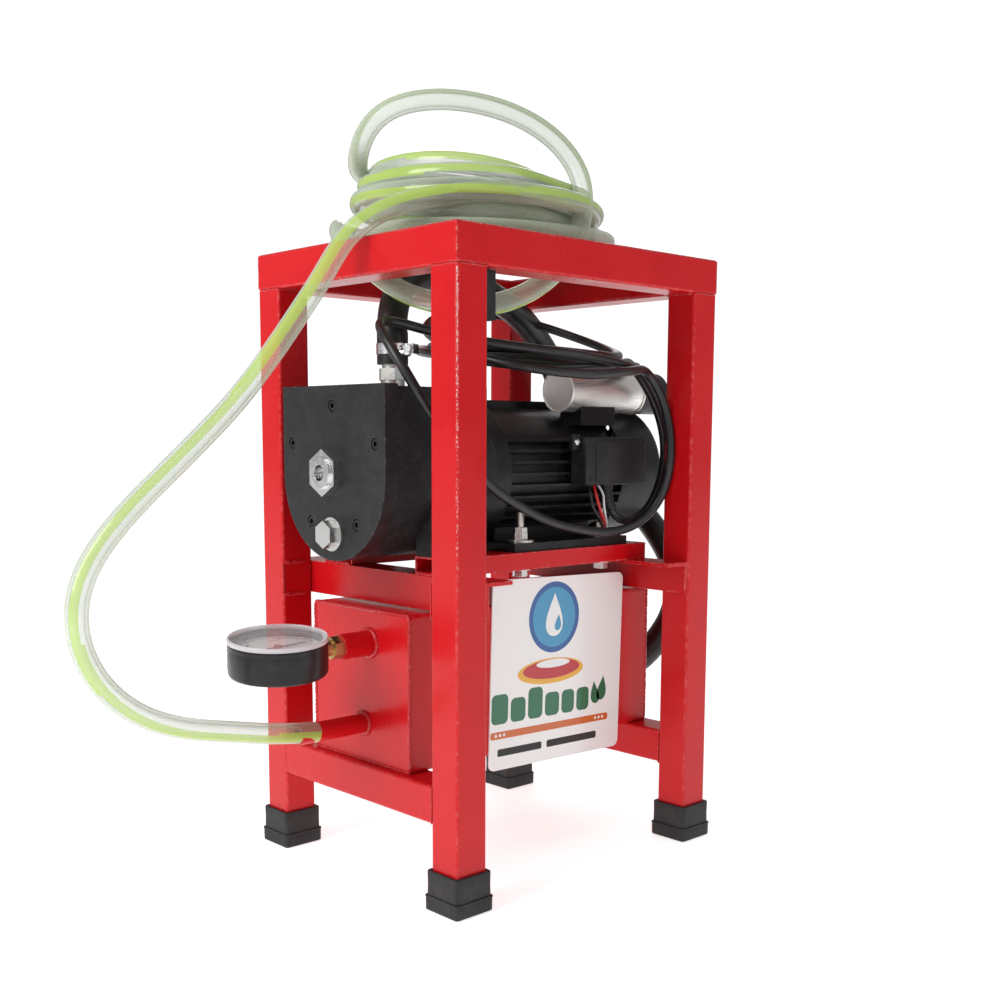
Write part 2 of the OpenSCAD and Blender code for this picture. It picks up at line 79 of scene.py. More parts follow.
LABEL_TURN = 146         # where the gauge's label sits, in degrees

# The camera's place and direction, and its lens on a 36 mm sensor.
CAMERA_AT = (-0.8992, -1.012, 0.4591)
CAMERA_YAW = 0.8145
CAMERA_PITCH = 0.1248
CAMERA_ROLL = 0.004
CAMERA_LENS = 44.53
CAMERA_SHIFT_Y = 0.09

# Routes through points measured from the stand's middle, as in the CAD part.
HOSE_RUN = [
    (-0.240, -0.005, 0.163), (-0.290, -0.005, 0.169), (-0.340, -0.004, 0.180), (-0.388, -0.004, 0.190),
    (-0.432, -0.003, 0.210), (-0.466, -0.002, 0.243), (-0.482, -0.001, 0.280), (-0.482, 0.0, 0.318),
    (-0.465, 0.0, 0.354), (-0.430, -0.001, 0.392), (-0.390, -0.002, 0.427), (-0.349, -0.002, 0.463),
    (-0.311, -0.003, 0.500), (-0.272, -0.010, 0.552), (-0.228, -0.018, 0.615), (-0.212, -0.021, 0.645),
    (-0.188, -0.030, 0.668), (-0.166, -0.042, 0.680), (-0.135, -0.060, 0.689), (-0.100, -0.080, 0.696)]
HOSE_DIP = [
    (-0.128, 0.104, 0.682), (-0.137, 0.082, 0.659), (-0.140, 0.046, 0.637), (-0.140, 0.006, 0.615),
    (-0.141, -0.020, 0.602), (-0.136, -0.046, 0.592), (-0.112, -0.084, 0.583), (-0.078, -0.100, 0.588),
    (-0.045, -0.109, 0.601), (-0.016, -0.112, 0.620), (0.006, -0.113, 0.640)]
HOSE_LOOP = [
    (0.017, -0.113, 0.652), (0.022, -0.113, 0.666), (0.029, -0.112, 0.684), (0.036, -0.107, 0.710),
    (0.034, -0.097, 0.737), (0.018, -0.080, 0.765), (-0.010, -0.062, 0.784), (-0.049, -0.042, 0.795),
    (-0.085, -0.020, 0.798), (-0.110, 0.004, 0.795), (-0.127, 0.026, 0.786), (-0.134, 0.044, 0.772),
    (-0.133, 0.057, 0.757), (-0.124, 0.070, 0.744)]
# The bare end lies on top of the coil's far side.
HOSE_TAIL = [
    (-0.106, 0.096, 0.741), (-0.078, 0.118, 0.740), (-0.044, 0.132, 0.739), (-0.006, 0.136, 0.737),
    (0.034, 0.130, 0.735), (0.070, 0.112, 0.733)]
CORD_OUT = [
    (0.096, -0.088, 0.397), (0.096, -0.089, 0.386), (0.100, -0.091, 0.374), (0.111, -0.094, 0.364),
    (0.128, -0.096, 0.361), (0.147, -0.098, 0.368), (0.164, -0.100, 0.385), (0.177, -0.100, 0.408),
    (0.184, -0.099, 0.432), (0.185, -0.097, 0.456), (0.180, -0.094, 0.480), (0.170, -0.090, 0.503),
    (0.156, -0.086, 0.523), (0.140, -0.086, 0.536), (0.124, -0.094, 0.540)]
CORD_BACK = [
    (-0.017, -0.105, 0.545), (-0.060, -0.072, 0.552), (-0.096, -0.042, 0.559), (-0.128, -0.027, 0.567),
    (-0.158, -0.023, 0.572), (-0.182, -0.037, 0.566), (-0.191, -0.062, 0.548), (-0.187, -0.084, 0.520),
    (-0.170, -0.097, 0.484), (-0.134, -0.099, 0.446), (-0.090, -0.099, 0.408), (-0.048, -0.099, 0.386),
    (-0.004, -0.099, 0.368), (0.046, -0.101, 0.357), (0.092, -0.105, 0.353), (0.122, -0.112, 0.360),
    (0.140, -0.122, 0.378), (0.147, -0.132, 0.404), (0.148, -0.137, 0.432), (0.148, -0.136, 0.460),
    (0.145, -0.131, 0.488), (0.137, -0.126, 0.512), (0.120, -0.121, 0.531)]
CORD_TAIL = [(0.030, 0.098, 0.550), (0.048, 0.106, 0.544), (0.062, 0.112, 0.528), (0.066, 0.116, 0.505),
        (0.062, 0.118, 0.482), (0.058, 0.118, 0.459)]
SUCTION_ROUTE = [
    (-0.135, 0.0, 0.556), (-0.131, 0.005, 0.578), (-0.118, 0.015, 0.598), (-0.098, 0.025, 0.615),
    (-0.060, 0.032, 0.629), (0.0, 0.040, 0.629), (0.054, 0.053, 0.617), (0.108, 0.068, 0.601),
    (0.153, 0.083, 0.580), (0.186, 0.087, 0.548), (0.209, 0.085, 0.504), (0.231, 0.068, 0.455),
    (0.243, 0.034, 0.402), (0.245, -0.020, 0.360), (0.245, -0.058, 0.318), (0.245, -0.074, 0.278),
    (0.244, -0.066, 0.240), (0.239, -0.050, 0.211), (0.229, -0.037, 0.190), (0.216, -0.030, 0.180),
    (0.207, -0.030, 0.180)]
HOSE_COIL_AT = (-0.007, 0.006)
DENT_AT = -75            # degrees round the hose coil
SLUMP_AT = -43
CORD_COIL_AT = (0.052, -0.006)
# Radius and height of the middle of each turn, in the order the hose runs through them.
HOSE_TURNS = [(0.134, 0.702), (0.1235, 0.719), (0.113, 0.735), (0.1025, 0.718), (0.092, 0.697), (0.113, 0.698),
        (0.1235, 0.680), (0.1025, 0.679), (0.092, 0.661), (0.113, 0.661), (0.134, 0.661)]
CORD_TURNS = [(0.098, 0.543), (0.110, 0.544), (0.122, 0.543)]
CORD_TURNS_TWO = [(0.116, 0.554), (0.104, 0.556)]


def at(p):
    """A point measured from the stand's middle, in the part's frame."""
    return Vector((p[0] + STAND_X, p[1], p[2]))


# ---- node materials ----

class Shader:
    """A small builder for one material's node tree."""

    def __init__(self, name, base, rough, metal=0.0):
        self.mat = bpy.data.materials.new(name)
        self.mat.use_nodes = True
        self.nodes = self.mat.node_tree.nodes
        self.links = self.mat.node_tree.links
        self.bsdf = self.nodes["Principled BSDF"]
        self.base = tuple(base) + (1.0,)
        self.put("Base Color", self.base)
        self.put("Roughness", rough)
        self.put("Metallic", metal)
        self.coords = self.add("TexCoord").outputs["Object"]

    def add(self, kind, values=None, sources=None):
        """A new node, with values and links for its inputs."""
        node = self.nodes.new("ShaderNode" + kind)
        for key, value in (values or {}).items():
            node.inputs[key].default_value = value
        for key, source in (sources or {}).items():
            self.links.new(source, node.inputs[key])
        return node

    def put(self, name, value):
        self.bsdf.inputs[name].default_value = value

    def noise(self, scale, detail=3.0, rough=0.55, stretch=None):
        source = self.coords
        if stretch:
            source = self.add("Mapping", {"Scale": stretch}, {"Vector": source}).outputs["Vector"]
        values = {"Scale": scale, "Detail": detail, "Roughness": rough}
        return self.add("TexNoise", values, {"Vector": source}).outputs["Fac"]

    def ramp(self, value, low, high, start=0.0, end=1.0):
        """Maps value from low..high to start..end."""
        values = {"From Min": low, "From Max": high, "To Min": start, "To Max": end}
        return self.add("MapRange", values, {"Value": value}).outputs["Result"]

    def tint(self, factor, colour):
        """Mixes another colour over the base colour by a factor."""
        mix = self.nodes.new("ShaderNodeMix")
        mix.data_type = "RGBA"
        self.links.new(factor, mix.inputs[0])
        old = self.bsdf.inputs["Base Color"]
        if old.is_linked:
            self.links.new(old.links[0].from_socket, mix.inputs[6])
        else:
            mix.inputs[6].default_value = self.base
        mix.inputs[7].default_value = tuple(colour) + (1.0,)
        self.links.new(mix.outputs[2], old)

    def mottle(self, grain, low, high, amount, colour):
        """Another colour in patches. grain is what noise takes."""
        self.tint(self.ramp(self.noise(*grain), low, high, 0.0, amount), colour)

    def roughen(self, factor, low, high):
        self.links.new(self.ramp(factor, 0.3, 0.7, low, high), self.bsdf.inputs["Roughness"])

    def bump(self, height, strength, distance):
        node = self.add("Bump", {"Strength": strength, "Distance": distance}, {"Height": height})
        old = self.bsdf.inputs["Normal"]
        if old.is_linked:
            self.links.new(old.links[0].from_socket, node.inputs["Normal"])
        self.links.new(node.outputs["Normal"], old)

    def bevel(self, radius):
        node = self.add("Bevel", {"Radius": radius})
        node.samples = 4
        return node.outputs["Normal"]

    def soft_edges(self, radius):
        self.links.new(self.bevel(radius), self.bsdf.inputs["Normal"])

    def wear(self, radius, edge, grain, patch, colour):
        """Another colour in patches on sharp outer edges."""
        dot = self.nodes.new("ShaderNodeVectorMath")
        dot.operation = "DOT_PRODUCT"
        self.links.new(self.bevel(radius), dot.inputs[0])
        self.links.new(self.add("NewGeometry").outputs["Normal"], dot.inputs[1])
        both = self.nodes.new("ShaderNodeMath")
        both.operation = "MULTIPLY"
        self.links.new(self.ramp(dot.outputs["Value"], edge[0], edge[1], 1.0, 0.0), both.inputs[0])
        self.links.new(self.ramp(self.noise(*grain), *patch), both.inputs[1])
        self.tint(both.outputs[0], colour)


def red_paint():
    """Glossy red enamel with orange peel, rubbed pale edges and dull patches."""
    s = Shader("red_enamel", (0.55, 0.004, 0.008), 0.32)
    s.soft_edges(0.0012)
    s.put("Specular IOR Level", 0.26)
    s.put("Coat Weight", 0.06)
    s.put("Coat Roughness", 0.15)
    broad = s.noise(9.0, 4.0)
    s.tint(s.ramp(broad, 0.35, 0.75, 0.0, 0.45), (0.66, 0.014, 0.016))
    s.mottle((38.0, 6.0, 0.7), 0.62, 0.80, 0.30, (0.30, 0.004, 0.008))
    s.wear(0.0022, (0.93, 0.995), (160.0, 5.0, 0.7), (0.47, 0.66), (0.80, 0.32, 0.30))
    s.roughen(broad, 0.20, 0.36)
    s.bump(s.noise(420.0, 2.0), 0.10, 0.0006)
    s.bump(s.noise(90.0, 2.0), 0.08, 0.0012)
    return s.mat


def weld_paint():
    s = Shader("painted_weld", (0.50, 0.006, 0.010), 0.30)
    s.mottle((300.0, 4.0, 0.7), 0.58, 0.76, 0.8, (0.80, 0.42, 0.40))
    s.bump(s.noise(350.0, 3.0), 0.35, 0.001)
    return s.mat


def black_rubber():
    s = Shader("ribbed_rubber", (0.018, 0.018, 0.019), 0.55)
    s.put("Specular IOR Level", 0.35)
    s.mottle((60.0, 5.0, 0.6), 0.45, 0.80, 0.5, (0.07, 0.068, 0.065))
    s.bump(s.noise(900.0, 2.0), 0.12, 0.0004)
    s.roughen(s.noise(30.0), 0.45, 0.68)
    return s.mat


def hose_rubber():
    """Black suction hose with a fine cloth print and a dull sheen."""
    s = Shader("suction_rubber", (0.013, 0.013, 0.014), 0.38)
    s.mottle((45.0, 5.0), 0.45, 0.80, 0.55, (0.050, 0.050, 0.052))
    s.bump(s.noise(700.0, 2.0), 0.12, 0.0004)
    s.put("Specular IOR Level", 0.4)
    return s.mat


def cord_rubber():
    s = Shader("cord_sheath", (0.012, 0.012, 0.013), 0.33)
    s.mottle((70.0, 4.0), 0.5, 0.85, 0.5, (0.05, 0.05, 0.05))
    s.bump(s.noise(600.0, 2.0), 0.08, 0.0003)
    return s.mat


def cast_iron():
    """Painted charcoal casting: fine sand grain with scuffed edges."""
    s = Shader("painted_casting", (0.013, 0.013, 0.014), 0.46)
    s.put("Specular IOR Level", 0.30)
    s.soft_edges(0.0014)
    s.mottle((55.0, 5.0, 0.65), 0.45, 0.80, 0.7, (0.032, 0.032, 0.034))
    s.wear(0.0026, (0.90, 0.99), (220.0, 5.0, 0.7), (0.50, 0.68), (0.16, 0.16, 0.17))
    s.roughen(s.noise(25.0), 0.34, 0.52)
    s.bump(s.noise(520.0, 4.0, 0.7), 0.22, 0.001)
    return s.mat


def rough_casting():
    s = Shader("rough_casting", (0.012, 0.012, 0.013), 0.52)
    s.put("Specular IOR Level", 0.30)
    s.soft_edges(0.001)
    s.mottle((90.0, 5.0, 0.7), 0.45, 0.75, 0.8, (0.036, 0.036, 0.038))
    s.bump(s.noise(160.0, 6.0, 0.75), 0.8, 0.0028)
    return s.mat


def motor_black():
    s = Shader("motor_enamel", (0.007, 0.007, 0.008), 0.40)
    s.put("Specular IOR Level", 0.32)
    s.soft_edges(0.0007)
    s.mottle((30.0, 5.0), 0.45, 0.80, 0.7, (0.030, 0.030, 0.032))
    s.wear(0.0016, (0.90, 0.99), (180.0, 4.0, 0.7), (0.52, 0.70), (0.09, 0.09, 0.095))
    s.roughen(s.noise(18.0), 0.28, 0.48)
    s.bump(s.noise(260.0, 3.0), 0.10, 0.0008)
    return s.mat


def black_plastic(name="black_plastic", base=(0.014, 0.014, 0.015), rough=0.40):
    s = Shader(name, base, rough)
    s.put("Specular IOR Level", 0.30)
    s.soft_edges(0.0008)
    s.mottle((40.0, 4.0), 0.50, 0.85, 0.6, (0.045, 0.045, 0.047))
    s.bump(s.noise(1100.0, 2.0), 0.10, 0.0003)
    return s.mat


def bright_metal(name, base, rough, brush=(1.0, 1.0, 1.0), dirt=0.25):
    s = Shader(name, base, rough, 1.0)
    s.soft_edges(0.0006)
    grain = s.noise(140.0, 4.0, 0.6, stretch=brush)
    s.mottle((55.0, 5.0, 0.65), 0.50, 0.80, dirt, tuple(c * 0.45 for c in base))
    s.roughen(grain, rough * 0.7, min(1.0, rough * 1.6))
    s.bump(grain, 0.10, 0.0004)
    return s.mat


def zinc():
    """Passivated zinc: bluish with yellow patches."""
    s = Shader("passivated_zinc", (0.62, 0.63, 0.64), 0.32, 1.0)
    s.soft_edges(0.0006)
    s.mottle((60.0, 4.0), 0.42, 0.72, 0.5, (0.66, 0.60, 0.44))
    s.mottle((150.0, 5.0, 0.7), 0.60, 0.80, 0.5, (0.30, 0.29, 0.28))
    s.roughen(s.noise(80.0), 0.24, 0.45)
    s.bump(s.noise(300.0, 3.0), 0.12, 0.0005)
    return s.mat


def plain(name, base, rough=0.4, coat=0.0, speckle=0.15):
    s = Shader(name, base, rough)
    s.mottle((120.0, 4.0), 0.45, 0.80, speckle, tuple(c * 0.7 for c in base))
    s.bump(s.noise(500.0, 2.0), 0.04, 0.0003)
    s.put("Coat Weight", coat)
    return s.mat


def clear_glass():
    s = Shader("gauge_glass", (0.95, 0.95, 0.96), 0.03)
    s.put("Transmission Weight", 0.55)
    s.put("IOR", 1.45)
    s.put("Alpha", 0.30)
    s.bump(s.noise(30.0), 0.02, 0.0004)
    return s.mat


def hose_vinyl(name, base, alpha, rough=0.10):
    """Soft clear vinyl: see-through face on, denser and shiny at the rims."""
    s = Shader(name, base, rough)
    s.put("IOR", 1.42)
    s.put("Coat Weight", 0.6)
    s.put("Coat Roughness", 0.05)
    rim = s.add("LayerWeight", {"Blend": 0.45})
    s.links.new(s.ramp(rim.outputs["Facing"], 0.15, 0.95, alpha[0], alpha[1]), s.bsdf.inputs["Alpha"])
    s.mottle((30.0, 3.0), 0.40, 0.80, 0.35, tuple(c * 0.82 for c in base))
    s.bump(s.noise(120.0, 2.0), 0.05, 0.0005)
    return s.mat


def white_plate():
    s = Shader("printed_plate", (0.86, 0.86, 0.85), 0.22)
    s.put("Coat Weight", 0.4)
    s.put("Coat Roughness", 0.08)
    s.mottle((12.0, 4.0), 0.50, 0.85, 0.25, (0.76, 0.76, 0.74))
    s.bump(s.noise(260.0, 2.0), 0.03, 0.0003)
    return s.mat


# ---- mesh helpers ----

def new_object(name, verts, faces, mats, smooth=True, slots=None):
    """A piece of the stand. slots gives each face's place in mats."""
    mesh = bpy.data.meshes.new(name)
    mesh.from_pydata([tuple(v) for v in verts], [], faces)
    for m in mats if isinstance(mats, (list, tuple)) else [mats]:
        mesh.materials.append(m)
    if slots:
        mesh.polygons.foreach_set("material_index", slots)
    mesh.polygons.foreach_set("use_smooth", [smooth] * len(mesh.polygons))
    mesh.update()
    obj = bpy.data.objects.new(name, mesh)
    bpy.context.scene.collection.objects.link(obj)
    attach(obj, "stand")
    return obj


def spline(points, step):
    """Points every step or so along a smooth curve through the given ones."""
    pts = [Vector(p) for p in points]
    ends = [pts[0] * 2 - pts[1]] + pts + [pts[-1] * 2 - pts[-2]]
    out = []
    for i in range(1, len(ends) - 2):
        a, b, c, d = ends[i - 1:i + 3]
        n = max(1, round((c - b).length / step))
        for k in range(n):
            t = k / n
            out.append(0.5 * ((2 * b) + (c - a) * t + (2 * a - 5 * b + 4 * c - d) * t * t
                    + (3 * b - a - 3 * c + d) * t ** 3))
    out.append(pts[-1])
    return out


def relax(points, rounds):
    """Smooths a dense path and keeps its ends."""
    pts = list(points)
    for _ in range(rounds):
        inner = [(pts[i - 1] + pts[i] * 2 + pts[i + 1]) / 4 for i in range(1, len(pts) - 1)]
        pts = [pts[0]] + inner + [pts[-1]]
    return pts


def laid(route, step, rounds):
    """A smooth dense path through points measured from the stand's middle."""
    return relax(spline([at(p) for p in route], step), rounds)


def path_length(points):
    return sum((b - a).length for a, b in zip(points, points[1:]))


def frames(points):
    """A side and an up direction at each point that don't twist along the path."""
    n = len(points)
    dirs = [(points[min(i + 1, n - 1)] - points[max(i - 1, 0)]).normalized() for i in range(n)]
    side = dirs[0].cross(Vector((0, 0, 1)))
    if side.length < 0.1:
        side = dirs[0].cross(Vector((1, 0, 0)))
    side.normalize()
    out = []
    for d in dirs:
        side = (side - d * side.dot(d)).normalized()
        out.append((side.copy(), d.cross(side)))
    return out


def tube(name, points, radius, mats, sides=16, pick=None, closed=True, wobble=None):
    """A round tube along a path. pick(i, k) gives a face's material index."""
    verts, faces, slots = [], [], []
    axes = frames(points)
    for i, (p, (u, v)) in enumerate(zip(points, axes)):
        for k in range(sides):
            a = 2 * pi * k / sides
            r = radius * (wobble(i, k) if wobble else 1.0)
            verts.append(p + (u * cos(a) + v * sin(a)) * r)
    for i in range(len(points) - 1):
        for k in range(sides):
            j = (k + 1) % sides
            a, b = i * sides, (i + 1) * sides
            faces.append((a + k, a + j, b + j, b + k))
            slots.append(pick(i, k) if pick else 0)
    if closed:
        faces.append(tuple(reversed(range(sides))))
        faces.append(tuple(range((len(points) - 1) * sides, len(points) * sides)))
        slots += [0, 0]
    return new_object(name, verts, faces, mats, True, slots)


def lathe(name, profile, origin, axis, mats, sides=64):
    """A turned piece. profile is (radius, along) pairs from the axis and back to it."""
    axis = Vector(axis).normalized()
    u = axis.orthogonal().normalized()
    v = axis.cross(u)
    verts, faces = [], []
    for r, h in profile:
        for k in range(sides):
            a = 2 * pi * k / sides
            verts.append(Vector(origin) + axis * h + (u * cos(a) + v * sin(a)) * max(r, 1e-5))
    for i in range(len(profile) - 1):
        for k in range(sides):
            j = (k + 1) % sides
            faces.append((i * sides + k, i * sides + j, (i + 1) * sides + j, (i + 1) * sides + k))
    obj = new_object(name, verts, faces, mats)
    finish_mesh(obj, 32)
    return obj


def finish_mesh(obj, angle):
    """Merges doubled points, faces outwards, and keeps edges sharper than the angle sharp."""
    bm = bmesh.new()
    bm.from_mesh(obj.data)
    bmesh.ops.remove_doubles(bm, verts=bm.verts, dist=2e-5)
    bmesh.ops.recalc_face_normals(bm, faces=bm.faces)
    for e in bm.edges:
        if len(e.link_faces) == 2 and e.calc_face_angle(0) > radians(angle):
            e.smooth = False
    bm.to_mesh(obj.data)
    bm.free()


def rounded_box(name, low, high, radius, mat):
    """A box between two corners with rounded edges."""
    bm = bmesh.new()
    bmesh.ops.create_cube(bm, size=1.0)
    size = Vector(high) - Vector(low)
    middle = (Vector(high) + Vector(low)) / 2
    for v in bm.verts:
        v.co = Vector((v.co.x * size.x, v.co.y * size.y, v.co.z * size.z)) + middle
    bmesh.ops.bevel(bm, geom=bm.edges[:], offset=radius, segments=3, affect="EDGES", profile=0.5)
    bm.verts.index_update()
    obj = new_object(name, [v.co for v in bm.verts], [[v.index for v in f.verts] for f in bm.faces], mat)
    bm.free()
    finish_mesh(obj, 40)
    return obj


def hex_piece(name, flats, low, high, origin, axis, mat):
    """A hexagon between two distances along its axis, with its corners chamfered at the far end."""
    axis = Vector(axis).normalized()
    u = axis.orthogonal().normalized()
    v = axis.cross(u)
    sides = 72
    inner = flats / 2 * 0.97
    rows = []
    for k in range(sides):
        a = 2 * pi * k / sides
        r = flats / 2 / cos((a % (pi / 3)) - pi / 6)
        column = [(0.0, low), (r * 0.999, low), (r, low), (r, high - max(0.0, (r - inner) * 0.6)), (inner, high),
                (0.0, high)]
        rows.append([Vector(origin) + axis * h + (u * cos(a) + v * sin(a)) * max(q, 1e-5)
                for q, h in column])
    count = len(rows[0])
    verts = [p for row in rows for p in row]
    faces = []
    for k in range(sides):
        j = (k + 1) % sides
        faces += [(k * count + i, k * count + i + 1, j * count + i + 1, j * count + i) for i in range(count - 1)]
    obj = new_object(name, verts, faces, mat)
    finish_mesh(obj, 18)
    return obj


def weld(name, points, radius, seed):
    """A lumpy bead laid along a path."""
    rng = random.Random(seed)
    path = spline(points, WELD_STEP)
    lumps = [rng.uniform(-0.13, 0.13) for _ in range(len(path) // 3 + 3)]

    def swell(i, k):
        wave = 0.10 * cos(2 * pi * i * WELD_STEP / WELD_RIPPLE + 0.6 * cos(2 * pi * k / 8))
        a, b = lumps[i // 3], lumps[i // 3 + 1]
        t = (i % 3) / 3
        ends = min(1.0, (i + 1) / 4, (len(path) - i) / 4)
        return (1 + wave + a * (1 - t) + b * t) * math.sqrt(ends)

    return tube(name, path, radius, MAT["weld"], 8, wobble=swell)


def coil_turns(middle, turns, start, sweep, first, last, slump, dent=0.0, tilt=0.0, lift=None):
    """Points of a wound coil. Angles are in degrees, and first and last are the ends' (radius, height).
    slump lowers the upper turns towards SLUMP_AT, dent pushes the turns in at DENT_AT,
    and tilt lowers the front."""
    keys = [first] + turns + [last]
    low = min(z for _, z in turns)
    steps = int(abs(sweep) / 6)
    out = []
    for n in range(1, steps):
        t = n / steps
        degrees = start + sweep * t
        angle = radians(degrees)
        x = t * (len(keys) - 1)
        i = min(int(x), len(keys) - 2)
        f = x - i
        hold = 0.5 - 0.5 * cos(pi * min(1.0, max(0.0, (f - 0.2) / 0.6)))
        r = keys[i][0] * (1 - hold) + keys[i + 1][0] * hold
        z = keys[i][1] * (1 - hold) + keys[i + 1][1] * hold
        ends = min(1.0, t * 12, (1 - t) * 12)
        away = (degrees - DENT_AT + 180) % 360 - 180
        r += ends * 0.0022 * sin(2 * angle + 1.3 * i) - ends * dent * math.exp(-(away / 34) ** 2)
        z += ends * (0.0014 * sin(3 * angle + i) + tilt * sin(angle)
                - slump * (z - low) * (0.5 + 0.5 * cos(radians(degrees - SLUMP_AT))))
        if lift:
            z += lift(degrees)
        out.append(Vector((middle[0] + STAND_X + r * cos(angle), middle[1] + r * sin(angle), z)))
    return out


def polar(p, middle):
    """Radius and angle in degrees of a point about a coil's middle, both from the stand's middle."""
    x, y = p[0] - middle[0], p[1] - middle[1]
    return math.hypot(x, y), math.degrees(math.atan2(y, x)) % 360


# ---- camera ----

def make_camera():
    cy, sy = cos(CAMERA_YAW), sin(CAMERA_YAW)
    cp, sp = cos(CAMERA_PITCH), sin(CAMERA_PITCH)
    forward = Vector((cp * cy, cp * sy, -sp))
    right = Vector((sy, -cy, 0.0))
    up = right.cross(forward)
    c, s = cos(CAMERA_ROLL), sin(CAMERA_ROLL)
    matrix = Matrix((right * c + up * s, up * c - right * s, -forward)).transposed().to_4x4()
    matrix.translation = Vector(CAMERA_AT)
    data = bpy.data.cameras.new("camera")
    data.lens = CAMERA_LENS
    data.sensor_width = 36.0
    data.shift_y = CAMERA_SHIFT_Y
    data.clip_start = 0.02
    obj = bpy.data.objects.new("camera", data)
    obj.matrix_world = matrix
    bpy.context.scene.collection.objects.link(obj)
    bpy.context.scene.camera = obj


make_camera()

MAT = {
    "red": red_paint(), "weld": weld_paint(), "rubber": black_rubber(), "suction": hose_rubber(),
    "cord": cord_rubber(), "iron": cast_iron(), "rough_iron": rough_casting(), "motor": motor_black(),
    "plastic": black_plastic(), "gloss_black": black_plastic("gauge_enamel", (0.010, 0.010, 0.011), 0.30),
    "steel": bright_metal("turned_steel", (0.60, 0.60, 0.61), 0.30, (1.0, 8.0, 8.0)),
    "chrome": bright_metal("plated_fitting", (0.78, 0.78, 0.79), 0.16, dirt=0.35),
    "screw": bright_metal("black_oxide", (0.06, 0.06, 0.062), 0.38),
    "clamp": bright_metal("clamp_steel", (0.74, 0.74, 0.75), 0.22),
    "can": bright_metal("drawn_aluminium", (0.93, 0.92, 0.89), 0.42, (0.4, 9.0, 9.0), 0.12),
    "brass": bright_metal("brass_fitting", (0.62, 0.45, 0.20), 0.30),
    "copper": bright_metal("lacquered_copper", (0.52, 0.22, 0.10), 0.35),
    "zinc": zinc(), "plate": white_plate(), "dial": plain("dial_print", (0.88, 0.88, 0.86), 0.45),
    "ink": plain("dial_ink", (0.02, 0.02, 0.02), 0.5), "needle": plain("needle_enamel", (0.03, 0.02, 0.02), 0.35),
    "glass": clear_glass(), "vane": plain("carbon_vane", (0.03, 0.03, 0.03), 0.55),
    "red_wire": plain("red_sleeve", (0.55, 0.02, 0.02), 0.35), "white_wire": plain("pale_wire", (0.7, 0.7, 0.68), 0.4),
    "vinyl": hose_vinyl("clear_vinyl", (0.62, 0.70, 0.55), (0.26, 0.94)),
    # The bore is a darker copy of the same vinyl: painted shade inside the hose.
    "vinyl_painted_shade": hose_vinyl("vinyl_bore_painted_shade", (0.42, 0.48, 0.38), (0.06, 0.60), 0.20),
    "lime": hose_vinyl("lime_stripe", (0.47, 0.66, 0.13), (0.74, 0.97), 0.18),
    "label": plain("paper_label", (0.82, 0.82, 0.80), 0.5),
    "chip": plain("bare_primer", (0.78, 0.70, 0.68), 0.6, speckle=0.4),
    "rim": hose_vinyl("gauge_rim_plastic", (0.82, 0.78, 0.80), (0.55, 0.90), 0.12),
}


PRINT_COLOURS = {
    "blue": (0.015, 0.10, 0.33), "sky": (0.05, 0.30, 0.52), "white": (0.85, 0.86, 0.86),
    "yellow": (0.80, 0.42, 0.04), "red": (0.50, 0.02, 0.03), "green": (0.006, 0.14, 0.06),
    "orange": (0.60, 0.13, 0.02),
}
for colour, value in PRINT_COLOURS.items():
    MAT["print_" + colour] = plain("print_" + colour, value, 0.3, 0.4, 0.05 if colour == "white" else 0.15)


# ---- free hose and cord ----

def hose_path():
    r0, a0 = polar(HOSE_RUN[-1], HOSE_COIL_AT)
    r1, a1 = polar(HOSE_DIP[0], HOSE_COIL_AT)
    turns = len(HOSE_TURNS)
    sweep = 360 * turns + (a1 - a0)
    coil = coil_turns(HOSE_COIL_AT, HOSE_TURNS, a0, sweep, (r0, HOSE_RUN[-1][2]), (r1, HOSE_DIP[0][2]), 0.20, 0.024)
    points = [at(p) for p in HOSE_RUN] + coil + [at(p) for p in HOSE_DIP + HOSE_LOOP + HOSE_TAIL]
    return relax(spline(points, 0.008), 14)


def hose_stripe(i, k, sides=24):
    """The lime stripe winds slowly round the hose."""
    drift = 1.6 * sin(i * 0.019) + 1.1 * sin(i * 0.0061)
    return 1 if (k + drift + 15) % sides < 3.2 else 0


def make_hose():
    path = hose_path()
    outer = tube("clear_hose", path, HOSE_D / 2, [MAT["vinyl"], MAT["lime"]], 24, pick=hose_stripe, closed=False)
    # The bore tube takes the darker vinyl copy, which paints shade inside the hose.
    bore = tube("clear_hose_bore", path, HOSE_D / 2 - HOSE_WALL, MAT["vinyl_painted_shade"], 16, closed=False)
    for tag, p, q in (("near", path[0], path[1]), ("far", path[-1], path[-2])):
        ring = lathe("hose_end_" + tag, [(HOSE_D / 2 - HOSE_WALL, 0.0), (HOSE_D / 2 - 0.0004, 0.0),
                (HOSE_D / 2, 0.0006)], p, q - p, MAT["vinyl"], 24)
    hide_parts("vacuum_hose", "hose_coil")
    tuple(path[0])
    round(path_length(path), 2)
    [tuple(p) for p in path]


def cord_path():
    def lift(angle):
        gap = (angle - 75 + 180) % 360 - 180
        return 0.040 * math.exp(-(gap / 62) ** 2)

    r0, a0 = polar(CORD_OUT[-1], CORD_COIL_AT)
    r1, a1 = polar(CORD_BACK[0], CORD_COIL_AT)
    one = coil_turns(CORD_COIL_AT, CORD_TURNS, a0, a1 - a0 - 720, (r0, CORD_OUT[-1][2]), (r1, CORD_BACK[0][2]),
            0.0, tilt=0.014)
    r2, a2 = polar(CORD_BACK[-1], CORD_COIL_AT)
    r3, a3 = polar(CORD_TAIL[0], CORD_COIL_AT)
    sweep = a3 - a2 - 360
    two = coil_turns(CORD_COIL_AT, CORD_TURNS_TWO, a2, sweep, (r2, CORD_BACK[-1][2]), (r3, CORD_TAIL[0][2]),
            0.0, tilt=0.012, lift=lambda angle: lift(angle) if angle > -60 else 0.0)
    points = [at(p) for p in CORD_OUT] + one + [at(p) for p in CORD_BACK] + two + [at(p) for p in CORD_TAIL]
    return relax(spline(points, 0.005), 14)


